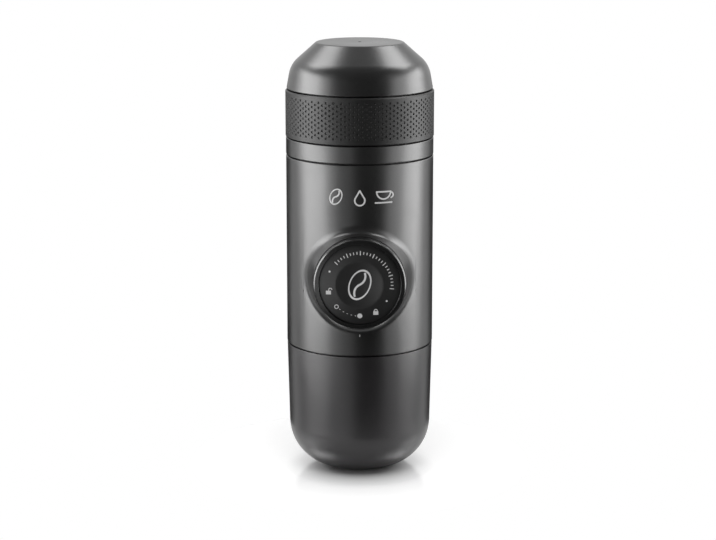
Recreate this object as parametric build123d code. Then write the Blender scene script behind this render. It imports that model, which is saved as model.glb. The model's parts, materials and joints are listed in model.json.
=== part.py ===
"""Hand-pumped espresso maker, stored upright with its cup on top.

Millimetres. +Z is up, the origin is the centre of the water tank's flat foot, and the pump knob faces -Y.
From the floor up: a round-bottomed water tank, the pump housing, a plain collar ring, the dimpled grip
collar that clamps the outlet head, and the drinking cup, which is upside down over the outlet.
"""
from build123d import *
import math
import os

os.makedirs("parts", exist_ok=True)

# ---------------------------------------------------------------- clearances
FACE_GAP = 0.05  # between flat faces of pieces that come apart, and around a running shaft
SLIP = 0.1  # radial, for a piece that drops into another
LOOSE = 0.3  # radial, for a cover around what it hides
SEAM = 0.5  # shadow gap between two outside pieces
EDGE = 0.3  # bevel on the outside pieces' corners

# ---------------------------------------------------------------- outside heights, from the floor up
TANK_HEIGHT = 52.4
HOUSING_LENGTH = 76.7
RING_HEIGHT = 6.9
GRIP_HEIGHT = 18.6
CUP_DOME_HEIGHT = 18.4

HOUSING_BOTTOM = TANK_HEIGHT + SEAM
HOUSING_TOP = HOUSING_BOTTOM + HOUSING_LENGTH
RING_BOTTOM = HOUSING_TOP + SEAM
RING_TOP = RING_BOTTOM + RING_HEIGHT
GRIP_BOTTOM = RING_TOP + SEAM
GRIP_TOP = GRIP_BOTTOM + GRIP_HEIGHT
CUP_EDGE = GRIP_TOP + SEAM
CUP_TOP = CUP_EDGE + CUP_DOME_HEIGHT

# ---------------------------------------------------------------- housing shell
BODY_R = 29.85
HOUSING_WALL = 1.85
HOUSING_BORE_R = BODY_R - HOUSING_WALL

# ---------------------------------------------------------------- quick thread, the same on both necks
THREAD_LEAD = 16.0
THREAD_STARTS = 4
THREAD_ARC = 80.0  # degrees that each rib covers
THREAD_ROOT_WIDTH = 1.8
THREAD_TIP_WIDTH = 1.0
THREAD_DEPTH = 1.2
THREAD_PLAY = 0.3  # radial, from a rib's tip to the other piece's wall
THREAD_FLANK_GAP = 0.2  # axial, between two flanks that pull together
THREAD_SINK = 0.3  # of a rib into the wall that it stands on
THREAD_END_MARGIN = 0.25  # from a neck's open end to its ribs
NECK_INSET = 4.85  # from the body's surface to a neck's wall

NECK_R = BODY_R - NECK_INSET
NECK_TIP_R = NECK_R + THREAD_DEPTH
SOCKET_R = NECK_TIP_R + THREAD_PLAY
SOCKET_TIP_R = SOCKET_R - THREAD_DEPTH
THREAD_RISE = THREAD_LEAD * THREAD_ARC / 360
THREAD_NARROWING = (THREAD_ROOT_WIDTH - THREAD_TIP_WIDTH) / THREAD_DEPTH
FLANK_TO_FLANK = THREAD_ROOT_WIDTH - THREAD_NARROWING * (THREAD_DEPTH + THREAD_PLAY) / 2
RIB_OFFSET = FLANK_TO_FLANK + THREAD_FLANK_GAP  # from a neck's rib to the socket's rib that it holds

# ---------------------------------------------------------------- water tank
TANK_STEP = 0.1  # its rim is this much inside the housing's surface
TANK_TAPER = 1.15  # from its rim to its belly
TANK_CURVE_R = 20.0  # of its round bottom
TANK_FOOT_R = 13.0
TANK_WALL = 2.1
TANK_FLOOR = 2.4
TANK_SEAL_DEPTH = 1.2
TANK_SEAL_WIDTH = 1.6
TANK_BORE_RELIEF = 1.0  # its bore turns straight this far below the neck that it takes

TANK_RIM_R = BODY_R - TANK_STEP
TANK_BELLY_R = TANK_RIM_R - TANK_TAPER
TANK_SEAL_BOTTOM = TANK_HEIGHT - TANK_SEAL_DEPTH

# ---------------------------------------------------------------- lower bulkhead, which closes the housing
BULKHEAD_LIP_HEIGHT = 1.5
BULKHEAD_LIP_WALL = 0.85  # of housing left around the lip
BULKHEAD_THICKNESS = 4.1
BULKHEAD_NECK_LENGTH = 11.4
BULKHEAD_NECK_WALL = 2.5
HOUSING_SEAL_WIRE_R = 0.75
HOUSING_SEAL_LEDGE = 0.4  # from the lip to the seal's groove

BULKHEAD_LIP_R = BODY_R - BULKHEAD_LIP_WALL - SLIP
BULKHEAD_LIP_TOP = HOUSING_BOTTOM + BULKHEAD_LIP_HEIGHT
BULKHEAD_TOP = HOUSING_BOTTOM + BULKHEAD_THICKNESS
BULKHEAD_NECK_BOTTOM = HOUSING_BOTTOM - BULKHEAD_NECK_LENGTH
BULKHEAD_BORE_R = NECK_R - BULKHEAD_NECK_WALL
BULKHEAD_RIB_Z = BULKHEAD_NECK_BOTTOM + THREAD_END_MARGIN + THREAD_ROOT_WIDTH / 2
HOUSING_SEAL_R = HOUSING_BORE_R - FACE_GAP - HOUSING_SEAL_WIRE_R
HOUSING_SEAL_Z = BULKHEAD_LIP_TOP + HOUSING_SEAL_LEDGE + FACE_GAP + HOUSING_SEAL_WIRE_R

# ---------------------------------------------------------------- inner frame
LINER_WALL = 1.8
NECK_WALL = 4.4
NECK_RISE = 8.7  # of the upper neck above the shoulder that the collar ring sits on
WELL_DEPTH = 19.8
WELL_FLOOR_THICKNESS = 2.5
WELL_WALL = 1.8
SHOULDER_HEIGHT = 6.1
SCREW_POST_R = 3.0
SCREW_POST_HEIGHT = 10.0
SCREW_POST_INSET = 3.5  # from the bulkhead's bore to a post's axis
SCREW_WEB = 2.5
PUMP_WALL_FRONT = 15.0  # forward of the body's axis
PUMP_WALL_THICKNESS = 3.0
PUMP_WALL_HEIGHT = 42.0
PUMP_SCREW_BOSS_LENGTH = 4.0

LINER_R = HOUSING_BORE_R - LOOSE
LINER_BORE_R = LINER_R - LINER_WALL
WELL_R = NECK_R - NECK_WALL
NECK_TOP = RING_BOTTOM + NECK_RISE
WELL_FLOOR = NECK_TOP - WELL_DEPTH
WELL_UNDERSIDE = WELL_FLOOR - WELL_FLOOR_THICKNESS
SHOULDER_BOTTOM = RING_BOTTOM - SHOULDER_HEIGHT
NECK_RIB_Z = NECK_TOP - THREAD_END_MARGIN - THREAD_ROOT_WIDTH / 2 - THREAD_RISE
SCREW_POST_CIRCLE_R = BULKHEAD_BORE_R - SCREW_POST_INSET

# ---------------------------------------------------------------- collar ring
RING_WALL = 1.75
RING_FLANGE = 1.0

# ---------------------------------------------------------------- basket, gasket and outlet head
BASKET_SHEET = 0.5
BASKET_RIM_WIDTH = 3.3  # beyond the well
BASKET_RIM_HEIGHT = 0.8
BASKET_FLOOR_GAP = 1.4  # water spreads under the basket here
BASKET_HOLE_R = 0.7
BASKET_HOLE_PITCH = 4.2
BASKET_HOLE_MARGIN = 1.5
GASKET_THICKNESS = 1.4
GASKET_WIDTH = 3.5
HEAD_FLANGE_THICKNESS = 2.6
HEAD_DECK_INSET = 0.2  # from the well's wall
HEAD_DECK_RISE = 1.6
HEAD_WALL = 1.6
CONE_FOOT_R = 15.6
CONE_TIP_R = 4.4
CONE_HEIGHT = 7.4
NOZZLE_R = 3.4
NOZZLE_LENGTH = 3.0
NOZZLE_BORE_R = 1.6
FUNNEL_DEPTH = 2.0  # from the cone's tip down to where its bore opens
SCREEN_THICKNESS = 0.5
SCREEN_RECESS = 0.7
SCREEN_HOLE_R = 0.5
SCREEN_HOLE_PITCH = 3.0
SCREEN_HOLE_MARGIN = 2.4

BASKET_R = WELL_R - LOOSE
HEAD_DECK_R = WELL_R - HEAD_DECK_INSET
BASKET_FLOOR = WELL_FLOOR + BASKET_FLOOR_GAP
RIM_TOP = NECK_TOP + BASKET_RIM_HEIGHT
HEAD_BOTTOM = RIM_TOP + GASKET_THICKNESS
HEAD_FLANGE_R = SOCKET_TIP_R - SLIP
HEAD_FLANGE_TOP = HEAD_BOTTOM + HEAD_FLANGE_THICKNESS
HEAD_DECK = HEAD_FLANGE_TOP + HEAD_DECK_RISE
CONE_TOP = HEAD_DECK + CONE_HEIGHT
NOZZLE_TOP = CONE_TOP + NOZZLE_LENGTH
SCREEN_TOP = HEAD_BOTTOM + SCREEN_RECESS

# ---------------------------------------------------------------- grip collar
GRIP_STEP = 0.15  # it stands this far outside the housing's surface
GRIP_EDGE = 0.5  # bevel around its top and bottom
GRIP_LIP_THICKNESS = 1.8
GRIP_SKIRT_WALL = 1.3
CUP_SOCKET_WALL = 2.6

GRIP_R = BODY_R + GRIP_STEP
GRIP_LIP_BOTTOM = HEAD_FLANGE_TOP + SLIP
GRIP_LIP_TOP = GRIP_LIP_BOTTOM + GRIP_LIP_THICKNESS
GRIP_SKIRT_BOTTOM = RING_BOTTOM + RING_FLANGE + SEAM
CUP_SOCKET_R = GRIP_R - CUP_SOCKET_WALL

# ---------------------------------------------------------------- cup
CUP_TAPER = 1.65  # from its rim to its shoulder
CUP_SHOULDER_RISE = 9.3
CUP_SHOULDER_CURVE_R = 10.4
CUP_TOP_R = 17.6
CUP_TOP_CURVE_R = 1.5
CUP_WALL = 1.8
CUP_SKIRT_GAP = 0.4  # radial, inside its socket
CUP_SKIRT_CLEARANCE = 0.6  # above the grip collar's lip
CUP_LIP_HEIGHT = 1.5  # the skirt's bore runs on to here, above the dome's lower edge
CUP_SEAL_DROP = 6.0  # below the dome's lower edge
CUP_SEAL_WIRE_R = 0.75
CUP_DIMPLE_R = 0.7
CUP_DIMPLE_DEPTH = 0.5

CUP_RIM_R = GRIP_R - GRIP_EDGE
CUP_SHOULDER_R = CUP_RIM_R - CUP_TAPER
CUP_SKIRT_R = CUP_SOCKET_R - CUP_SKIRT_GAP
CUP_SKIRT_BORE_R = CUP_SKIRT_R - CUP_WALL
CUP_SKIRT_BOTTOM = GRIP_LIP_TOP + CUP_SKIRT_CLEARANCE
CUP_SEAL_Z = CUP_EDGE - CUP_SEAL_DROP
CUP_SEAL_R = CUP_SOCKET_R - FACE_GAP - CUP_SEAL_WIRE_R

# ---------------------------------------------------------------- scoop, which is also the tamper
SCOOP_FIT = 0.5  # radial, inside the basket that it tamps
SCOOP_WALL = 1.3
SCOOP_HEIGHT = 20.0
SCOOP_TAMPER_THICKNESS = 2.0
SCOOP_BEVEL = 0.8
SCOOP_TAB_GAP = 0.9  # from the tab's end to the cup's skirt
SCOOP_TAB_WIDTH = 12.0
SCOOP_TAB_THICKNESS = 1.6
SCOOP_TAB_CLEARANCE = 0.4  # above the grip collar's lip

SCOOP_R = BASKET_R - BASKET_SHEET - SCOOP_FIT
SCOOP_BOTTOM = HEAD_DECK + FACE_GAP
SCOOP_TOP = SCOOP_BOTTOM + SCOOP_HEIGHT
SCOOP_TAB_REACH = CUP_SKIRT_BORE_R - SCOOP_TAB_GAP
SCOOP_TAB_BOTTOM = GRIP_LIP_TOP + SCOOP_TAB_CLEARANCE

# ---------------------------------------------------------------- knob and boss, forward of the body's axis
KNOB_RISE = 30.8  # of the knob's axis above the housing's lower edge
KNOB_R = 18.2
KNOB_PROUD = 9.15  # of the body's surface
KNOB_WALL = 1.9
KNOB_FRONT_WALL = 2.4
KNOB_RIM_WIDTH = 2.0
KNOB_EDGE = 0.8  # bevel around its front
KNOB_REAR_GAP = 0.5  # from the pump wall
FACE_THICKNESS = 1.35
FACE_INSET = 0.2  # behind the knob's rim
DISH_R = 9.3
DISH_DEPTH = 0.7
HUB_WALL = 2.4
HUB_LENGTH = 5.0
HUB_GRIP = 3.0  # length of rod in the hub
STROKE = 16.0
LOCK_TURN = 46.0  # degrees from locked to unlocked

BOSS_PROUD = 3.75  # of the body's surface
BOSS_GAP = 0.4  # around the knob
BOSS_WALL = 1.0
BOSS_FLARE = 0.11  # growth in radius for each millimetre back from its rim
BOSS_BLEND = 1.6

KNOB_Z = HOUSING_BOTTOM + KNOB_RISE
KNOB_FRONT = BODY_R + KNOB_PROUD
KNOB_BORE_R = KNOB_R - KNOB_WALL
KNOB_REAR = PUMP_WALL_FRONT + KNOB_REAR_GAP
KNOB_FLOOR = KNOB_FRONT - FACE_INSET - FACE_THICKNESS - FACE_GAP
KNOB_INNER = KNOB_FLOOR - KNOB_FRONT_WALL
BOSS_FRONT = BODY_R + BOSS_PROUD
BOSS_BORE_R = KNOB_R + BOSS_GAP
BOSS_RIM_R = BOSS_BORE_R + BOSS_WALL
WINDOW_R = BOSS_BORE_R + SLIP  # in the inner frame, behind the boss

# ---------------------------------------------------------------- pump cylinder, rod guide and lock ring
PUMP_BORE_R = 6.5
PUMP_CYLINDER_WALL = 2.0
PUMP_FLANGE_THICKNESS = 2.0
ROD_R = 4.0
ROD_GUIDE_THICKNESS = 2.0
PISTON_GAP = 0.1
PISTON_LENGTH = 7.8
PISTON_END_GAP = 1.2  # water left behind the piston
PISTON_SEAL_WIRE_R = 0.8
LOCK_LIP_THICKNESS = 1.5
LOCK_LIP_WIDTH = 4.6
LOCK_SLEEVE_WALL = 2.3
LOCK_TRACK_DEPTH = 0.9
LOCK_LUGS = 3
LOCK_LUG_ARC = 13.0  # degrees
LOCK_LUG_LENGTH = 2.5
LOCK_LUG_SETBACK = 0.3
LOCK_LUG_PLAY = 1.0  # degrees at each end of the turn
PUMP_SCREW_CIRCLE_R = 11.5
SPRING_R = 7.9
SPRING_WIRE_R = 0.6
SPRING_TURNS = 6.5

PUMP_R = PUMP_BORE_R + PUMP_CYLINDER_WALL
PUMP_FRONT = PUMP_WALL_FRONT + PUMP_FLANGE_THICKNESS
GUIDE_FRONT = PUMP_FRONT + ROD_GUIDE_THICKNESS
PISTON_R = PUMP_BORE_R - PISTON_GAP
PISTON_FRONT = PUMP_FRONT - STROKE - PISTON_GAP
PISTON_REAR = PISTON_FRONT - PISTON_LENGTH
PISTON_SEAL_R = PUMP_BORE_R - FACE_GAP - PISTON_SEAL_WIRE_R
PISTON_SEAL_AT = (PISTON_FRONT + PISTON_REAR) / 2
PUMP_REAR = PISTON_REAR - PISTON_END_GAP
HUB_R = ROD_R + HUB_WALL
HUB_REAR = KNOB_INNER - HUB_LENGTH
ROD_FRONT = HUB_REAR + HUB_GRIP
LOCK_SLEEVE_R = KNOB_BORE_R - BOSS_GAP
LOCK_SLEEVE_BORE_R = LOCK_SLEEVE_R - LOCK_SLEEVE_WALL
LOCK_SLEEVE_FRONT = KNOB_INNER - KNOB_REAR_GAP
LOCK_TRACK_R = LOCK_SLEEVE_R - LOCK_TRACK_DEPTH
LOCK_LIP_FRONT = GUIDE_FRONT + LOCK_LIP_THICKNESS
PUMP_FLANGE_R = LOCK_TRACK_R - SLIP

# ---------------------------------------------------------------- valves, in a column behind the pump
VALVE_BLOCK_R = 6.5
VALVE_SOCKET_WALL = 1.8
VALVE_SOCKET_OVERLAP = 4.6  # length of pump cylinder that it holds
VALVE_PORT_R = 1.5
PUMP_PORT_R = 1.2  # from the pump into the column
VALVE_CHAMBER_R = 3.0
VALVE_CHAMBER_LENGTH = 11.0
PUMP_GASKET_THICKNESS = 0.9
BALL_R = 2.2
INLET_SEAT_DROP = 17.0  # below the pump's axis
INLET_SEAT_LENGTH = 5.0
INLET_SEAT_R = 3.6
OUTLET_SEAT_RISE = 8.3  # above the pump's axis
OUTLET_PLUG_LENGTH = 4.0
VALVE_SPRING_R = 1.8
VALVE_SPRING_WIRE_R = 0.25
VALVE_SPRING_TURNS = 6.0
RISER_WALL = 1.1
SPIGOT_R = 3.2
SPIGOT_LENGTH = 2.4
STRAINER_R = 4.5
STRAINER_HEIGHT = 5.4
STRAINER_FLOOR = 0.8
STRAINER_HOLE_R = 0.4
STRAINER_HOLE_PITCH = 1.4
STRAINER_MARGIN = 2.0  # from the bulkhead's bore
AIR_VALVE_MARGIN = 3.5  # from the bulkhead's bore
AIR_VALVE_R = 5.0
AIR_VALVE_THICKNESS = 0.9
AIR_VALVE_EDGE = 0.5
AIR_STEM_R = 1.5
AIR_BEAD_R = 2.1
AIR_BEAD_HEIGHT = 1.6
AIR_HOLES = 6
AIR_HOLE_R = 0.7
AIR_HOLE_CIRCLE_R = 3.1

VALVE_Y = BULKHEAD_BORE_R - STRAINER_MARGIN - STRAINER_R
AIR_VALVE_Y = -(BULKHEAD_BORE_R - AIR_VALVE_MARGIN - AIR_VALVE_R)
INLET_SEAT_Z = KNOB_Z - INLET_SEAT_DROP
OUTLET_SEAT_Z = KNOB_Z + OUTLET_SEAT_RISE
OUTLET_PLUG_BOTTOM = OUTLET_SEAT_Z + VALVE_CHAMBER_LENGTH
RISER_BOTTOM = OUTLET_PLUG_BOTTOM + OUTLET_PLUG_LENGTH
VALVE_SOCKET_R = PUMP_R + SLIP + VALVE_SOCKET_WALL
VALVE_SOCKET_FLOOR = PUMP_REAR - PUMP_GASKET_THICKNESS
VALVE_SOCKET_FRONT = PUMP_REAR + VALVE_SOCKET_OVERLAP

# ---------------------------------------------------------------- screws
SCREW_FIT = 0.05  # radial, between a screw and its hole
SCREW_HOLE_SPARE = 0.5  # depth past a screw's end
SCREWS_PER_RING = 4
SCREW_SLOT_WIDTH = 0.5
FRAME_SCREW = dict(shank_r=1.2, shank=11.0, head_r=2.2, head=1.7)
PUMP_SCREW = dict(shank_r=0.95, shank=11.0, head_r=1.6, head=1.5)
KNOB_SCREW = dict(shank_r=1.45, shank=9.0, head_r=3.0, head=1.8)
PUMP_SCREW_BOSS_WALL = 1.4

KNOB_SCREW_SEAT = KNOB_FLOOR - KNOB_SCREW["head"] - FACE_GAP

KNOB_AXIS = Pos(0, 0, KNOB_Z) * Rot(90, 0, 0)  # local +Z points forward out of the knob
VALVE_AXIS = Pos(0, VALVE_Y, 0)


# ================================================================ helpers
def lathe(*corners):
    """A solid of revolution about Z, from its (radius, height) corners."""
    return revolve(make_face(Plane.XZ * Polyline(*corners, close=True)), Axis.Z)


def tube(outer_r, inner_r, low, high):
    return lathe((inner_r, low), (outer_r, low), (outer_r, high), (inner_r, high))


def rod(radius, low, high):
    return lathe((0, low), (radius, low), (radius, high), (0, high))


def tube_sector(outer_r, inner_r, low, high, start, arc):
    """Part of a tube, over an arc about Z that begins at start degrees."""
    corners = [(inner_r, low), (outer_r, low), (outer_r, high), (inner_r, high)]
    section = make_face(Plane.XZ * Polyline(*corners, close=True))
    return Rot(0, 0, start) * revolve(section, Axis.Z, arc)


def ring_of_wire(ring_r, wire_r, height):
    """An O-ring lying flat."""
    return Pos(0, 0, height) * Torus(ring_r, wire_r)


def wire_groove(ring_r, wire_r, height):
    """The room that an O-ring takes out of the piece inside it."""
    half = wire_r + FACE_GAP
    return tube(ring_r + 2 * wire_r, ring_r - half, height - half, height + half)


def around(count, radius, start=45.0):
    """Places spaced evenly on a circle about Z."""
    return [Rot(0, 0, start + 360 / count * n) * Pos(radius, 0, 0) for n in range(count)]


def hole_field(radius, hole_r, pitch, low, high):
    """Drills on a triangular grid, as far out as they fit in radius."""
    rows = int(radius / pitch) + 1
    row_pitch = pitch * math.sqrt(3) / 2
    drills = []
    for row in range(-rows, rows + 1):
        for column in range(-rows - 1, rows + 2):
            x = (column + row % 2 / 2) * pitch
            y = row * row_pitch
            if math.hypot(x, y) + hole_r < radius:
                drills.append(Pos(x, y, 0) * rod(hole_r, low, high))
    return drills


def screw(shank_r, shank, head_r, head):
    """A cross-recess screw: its head sits on Z = 0 and its shank runs down."""
    slot = Box(head_r, SCREW_SLOT_WIDTH, head)
    cross = Pos(0, 0, head) * (slot + Rot(0, 0, 90) * slot)
    return rod(head_r, 0, head) + rod(shank_r, -shank, 0) - cross


def thread_ribs(wall_r, tip_r, low):
    """The quick thread's ribs, right-handed, from a wall of wall_r to tip_r, starting at the height low."""
    outwards = math.copysign(1, tip_r - wall_r)
    root_r = wall_r - outwards * THREAD_SINK
    half_root = (THREAD_ROOT_WIDTH + THREAD_NARROWING * THREAD_SINK) / 2
    half_tip = THREAD_TIP_WIDTH / 2
    path = Helix(pitch=THREAD_LEAD, height=THREAD_RISE, radius=wall_r)
    corners = [(root_r, -half_root), (tip_r, -half_tip), (tip_r, half_tip), (root_r, half_root)]
    rib = sweep(Plane.XZ * make_face(Polyline(*corners, close=True)), path=path, is_frenet=True)
    return [Pos(0, 0, low) * Rot(0, 0, 360 / THREAD_STARTS * n) * rib for n in range(THREAD_STARTS)]


def coil(ring_r, wire_r, low, high, turns):
    """A helical spring between two heights, its wire's own thickness included."""
    rise = high - low - 2 * wire_r
    path = Helix(pitch=rise / turns, height=rise, radius=ring_r)
    wire = Plane(origin=path @ 0, z_dir=path % 0) * Circle(wire_r)
    return Pos(0, 0, low + wire_r) * sweep(wire, path=path, is_frenet=True)


def parallel_line(corners, wall):
    """The open line through corners, moved by wall to its left."""
    moved = []
    for (x0, y0), (x1, y1) in zip(corners, corners[1:]):
        length = math.hypot(x1 - x0, y1 - y0)
        dx, dy = -(y1 - y0) / length * wall, (x1 - x0) / length * wall
        moved.append(((x0 + dx, y0 + dy), (x1 + dx, y1 + dy)))
    line = [moved[0][0]]
    for ((ax, ay), (bx, by)), ((cx, cy), (dx, dy)) in zip(moved, moved[1:]):
        cross = (bx - ax) * (dy - cy) - (by - ay) * (dx - cx)
        along = ((cx - ax) * (dy - cy) - (cy - ay) * (dx - cx)) / cross
        line.append((ax + along * (bx - ax), ay + along * (by - ay)))
    return line + [moved[-1][1]]


# ================================================================ water tank
def round_bottom(wall, floor):
    """The tank's floor and round corner, moved inwards by wall, as far as the start of its side."""
    curve_r = TANK_CURVE_R - wall
    centre_r = TANK_BELLY_R - TANK_CURVE_R
    centre_z = math.sqrt(TANK_CURVE_R**2 - (TANK_FOOT_R - centre_r) ** 2)
    foot_r = centre_r + math.sqrt(curve_r**2 - (centre_z - floor) ** 2)
    middle = curve_r * math.sqrt(0.5)
    flat = Line((0, floor), (foot_r, floor))
    curve = ThreePointArc(
        (foot_r, floor), (centre_r + middle, centre_z - middle), (centre_r + curve_r, centre_z)
    )
    return flat, curve


def water_tank():
    flat, curve = round_bottom(0, 0)
    side = Polyline(
        curve @ 1, (TANK_RIM_R, TANK_HEIGHT - EDGE), (TANK_RIM_R - EDGE, TANK_HEIGHT),
        (0, TANK_HEIGHT), (0, 0),
    )
    outside = revolve(make_face(Plane.XZ * (flat + curve + side)), Axis.Z)
    flat, curve = round_bottom(TANK_WALL, TANK_FLOOR)
    bore_start = BULKHEAD_NECK_BOTTOM - TANK_BORE_RELIEF
    side = Polyline(
        curve @ 1, (SOCKET_R, bore_start), (SOCKET_R, TANK_HEIGHT), (0, TANK_HEIGHT), (0, TANK_FLOOR)
    )
    inside = revolve(make_face(Plane.XZ * (flat + curve + side)), Axis.Z)
    tank = outside - inside - rod(SOCKET_R + TANK_SEAL_WIDTH, TANK_SEAL_BOTTOM, TANK_HEIGHT)
    return tank + thread_ribs(SOCKET_R, SOCKET_TIP_R, BULKHEAD_RIB_Z + RIB_OFFSET)


def tank_seal():
    outer_r = SOCKET_R + TANK_SEAL_WIDTH - SLIP
    return tube(outer_r, SOCKET_R + SLIP, TANK_SEAL_BOTTOM, HOUSING_BOTTOM - FACE_GAP)


# ================================================================ housing, ring, frame and bulkhead
def main_housing():
    foot_r = BOSS_RIM_R + BOSS_FLARE * (BOSS_FRONT - PUMP_WALL_FRONT)
    boss = KNOB_AXIS * lathe(
        (0, PUMP_WALL_FRONT), (foot_r, PUMP_WALL_FRONT), (BOSS_RIM_R, BOSS_FRONT - EDGE),
        (BOSS_RIM_R - EDGE, BOSS_FRONT), (0, BOSS_FRONT),
    )
    shell = boss + lathe(
        (0, HOUSING_BOTTOM), (BODY_R - EDGE, HOUSING_BOTTOM), (BODY_R, HOUSING_BOTTOM + EDGE),
        (BODY_R, HOUSING_TOP - EDGE), (BODY_R - EDGE, HOUSING_TOP), (0, HOUSING_TOP),
    )
    crease = shell.edges().filter_by(lambda edge: edge.geom_type not in (GeomType.LINE, GeomType.CIRCLE))
    shell = fillet(crease, BOSS_BLEND)
    shell -= rod(HOUSING_BORE_R, HOUSING_BOTTOM, HOUSING_TOP)
    shell -= rod(BULKHEAD_LIP_R + SLIP, HOUSING_BOTTOM, BULKHEAD_LIP_TOP)
    return shell - KNOB_AXIS * rod(BOSS_BORE_R, 0, KNOB_FRONT)


def collar_ring():
    """Its flange slips over the neck's ribs and lies on the frame's shoulder."""
    bore_r = BODY_R - RING_WALL
    flange_top = RING_BOTTOM + RING_FLANGE
    return lathe(
        (SOCKET_R, RING_BOTTOM), (BODY_R - EDGE, RING_BOTTOM), (BODY_R, RING_BOTTOM + EDGE),
        (BODY_R, RING_TOP - EDGE), (BODY_R - EDGE, RING_TOP), (bore_r, RING_TOP),
        (bore_r, flange_top), (SOCKET_R, flange_top),
    )


def inner_frame():
    shoulder_r = HOUSING_BORE_R - SLIP
    well_outer_r = WELL_R + WELL_WALL
    frame = lathe(
        (WELL_R, WELL_FLOOR), (WELL_R, NECK_TOP), (NECK_R, NECK_TOP), (NECK_R, RING_BOTTOM),
        (shoulder_r, RING_BOTTOM), (shoulder_r, SHOULDER_BOTTOM), (LINER_R, SHOULDER_BOTTOM),
        (LINER_R, BULKHEAD_TOP), (LINER_BORE_R, BULKHEAD_TOP), (LINER_BORE_R, SHOULDER_BOTTOM),
        (well_outer_r, SHOULDER_BOTTOM), (well_outer_r, WELL_UNDERSIDE), (0, WELL_UNDERSIDE),
        (0, WELL_FLOOR),
    )
    frame += thread_ribs(NECK_R, NECK_TIP_R, NECK_RIB_Z)
    frame -= KNOB_AXIS * rod(WINDOW_R, PUMP_WALL_FRONT, BODY_R)
    frame += pump_wall()
    frame += pump_screw_bosses()
    frame += screw_posts()
    pump_screw_end = LOCK_LIP_FRONT - PUMP_SCREW["shank"] - SCREW_HOLE_SPARE
    frame -= pump_screw_holes(pump_screw_end, PUMP_WALL_FRONT)
    frame -= frame_screw_holes(BULKHEAD_TOP, HOUSING_BOTTOM + FRAME_SCREW["shank"] + SCREW_HOLE_SPARE)
    frame -= KNOB_AXIS * rod(PUMP_R + LOOSE, 0, PUMP_WALL_FRONT)
    return frame - VALVE_AXIS * rod(VALVE_CHAMBER_R, WELL_UNDERSIDE, WELL_FLOOR)


def pump_wall():
    """The upright wall that carries the pump, across the inside of the liner."""
    slab = Pos(0, 0, PUMP_WALL_FRONT - PUMP_WALL_THICKNESS / 2) * Box(
        2 * BODY_R, PUMP_WALL_HEIGHT, PUMP_WALL_THICKNESS
    )
    return (KNOB_AXIS * slab) & rod(LINER_R - LINER_WALL / 2, BULKHEAD_TOP, SHOULDER_BOTTOM)


def pump_screw_bosses():
    back = PUMP_WALL_FRONT - PUMP_WALL_THICKNESS
    boss = rod(PUMP_SCREW["shank_r"] + PUMP_SCREW_BOSS_WALL, back - PUMP_SCREW_BOSS_LENGTH, back)
    return [KNOB_AXIS * place * boss for place in around(SCREWS_PER_RING, PUMP_SCREW_CIRCLE_R)]


def screw_posts():
    reach = LINER_R - LINER_WALL / 2 - SCREW_POST_CIRCLE_R
    web = Box(reach, SCREW_WEB, SCREW_POST_HEIGHT, align=(Align.MIN, Align.CENTER, Align.MIN))
    post = Pos(0, 0, BULKHEAD_TOP) * (rod(SCREW_POST_R, 0, SCREW_POST_HEIGHT) + web)
    return [place * post for place in around(SCREWS_PER_RING, SCREW_POST_CIRCLE_R)]


def pump_screw_holes(low, high):
    drill = rod(PUMP_SCREW["shank_r"] + SCREW_FIT, low, high)
    return [KNOB_AXIS * place * drill for place in around(SCREWS_PER_RING, PUMP_SCREW_CIRCLE_R)]


def frame_screw_holes(low, high):
    drill = rod(FRAME_SCREW["shank_r"] + SCREW_FIT, low, high)
    return [place * drill for place in around(SCREWS_PER_RING, SCREW_POST_CIRCLE_R)]


def lower_bulkhead():
    plug = lathe(
        (0, HOUSING_BOTTOM), (BULKHEAD_BORE_R, HOUSING_BOTTOM), (BULKHEAD_BORE_R, BULKHEAD_NECK_BOTTOM),
        (NECK_R, BULKHEAD_NECK_BOTTOM), (NECK_R, HOUSING_BOTTOM), (BULKHEAD_LIP_R, HOUSING_BOTTOM),
        (BULKHEAD_LIP_R, BULKHEAD_LIP_TOP), (LINER_R, BULKHEAD_LIP_TOP), (LINER_R, BULKHEAD_TOP),
        (0, BULKHEAD_TOP),
    )
    plug += thread_ribs(NECK_R, NECK_TIP_R, BULKHEAD_RIB_Z)
    plug += VALVE_AXIS * rod(SPIGOT_R, HOUSING_BOTTOM - SPIGOT_LENGTH, HOUSING_BOTTOM)
    plug -= VALVE_AXIS * rod(VALVE_PORT_R, HOUSING_BOTTOM - SPIGOT_LENGTH, BULKHEAD_TOP)
    plug -= wire_groove(HOUSING_SEAL_R, HOUSING_SEAL_WIRE_R, HOUSING_SEAL_Z)
    plug -= frame_screw_holes(HOUSING_BOTTOM, BULKHEAD_TOP)
    air_way = [rod(AIR_STEM_R + SLIP, HOUSING_BOTTOM, BULKHEAD_TOP)]
    for place in around(AIR_HOLES, AIR_HOLE_CIRCLE_R):
        air_way.append(place * rod(AIR_HOLE_R, HOUSING_BOTTOM, BULKHEAD_TOP))
    return plug - [Pos(0, AIR_VALVE_Y, 0) * drill for drill in air_way]


def housing_seal():
    return ring_of_wire(HOUSING_SEAL_R, HOUSING_SEAL_WIRE_R, HOUSING_SEAL_Z)


def frame_screws():
    one = Pos(0, 0, HOUSING_BOTTOM) * Rot(180, 0, 0) * screw(**FRAME_SCREW)
    return Compound(children=[place * one for place in around(SCREWS_PER_RING, SCREW_POST_CIRCLE_R)])


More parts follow.
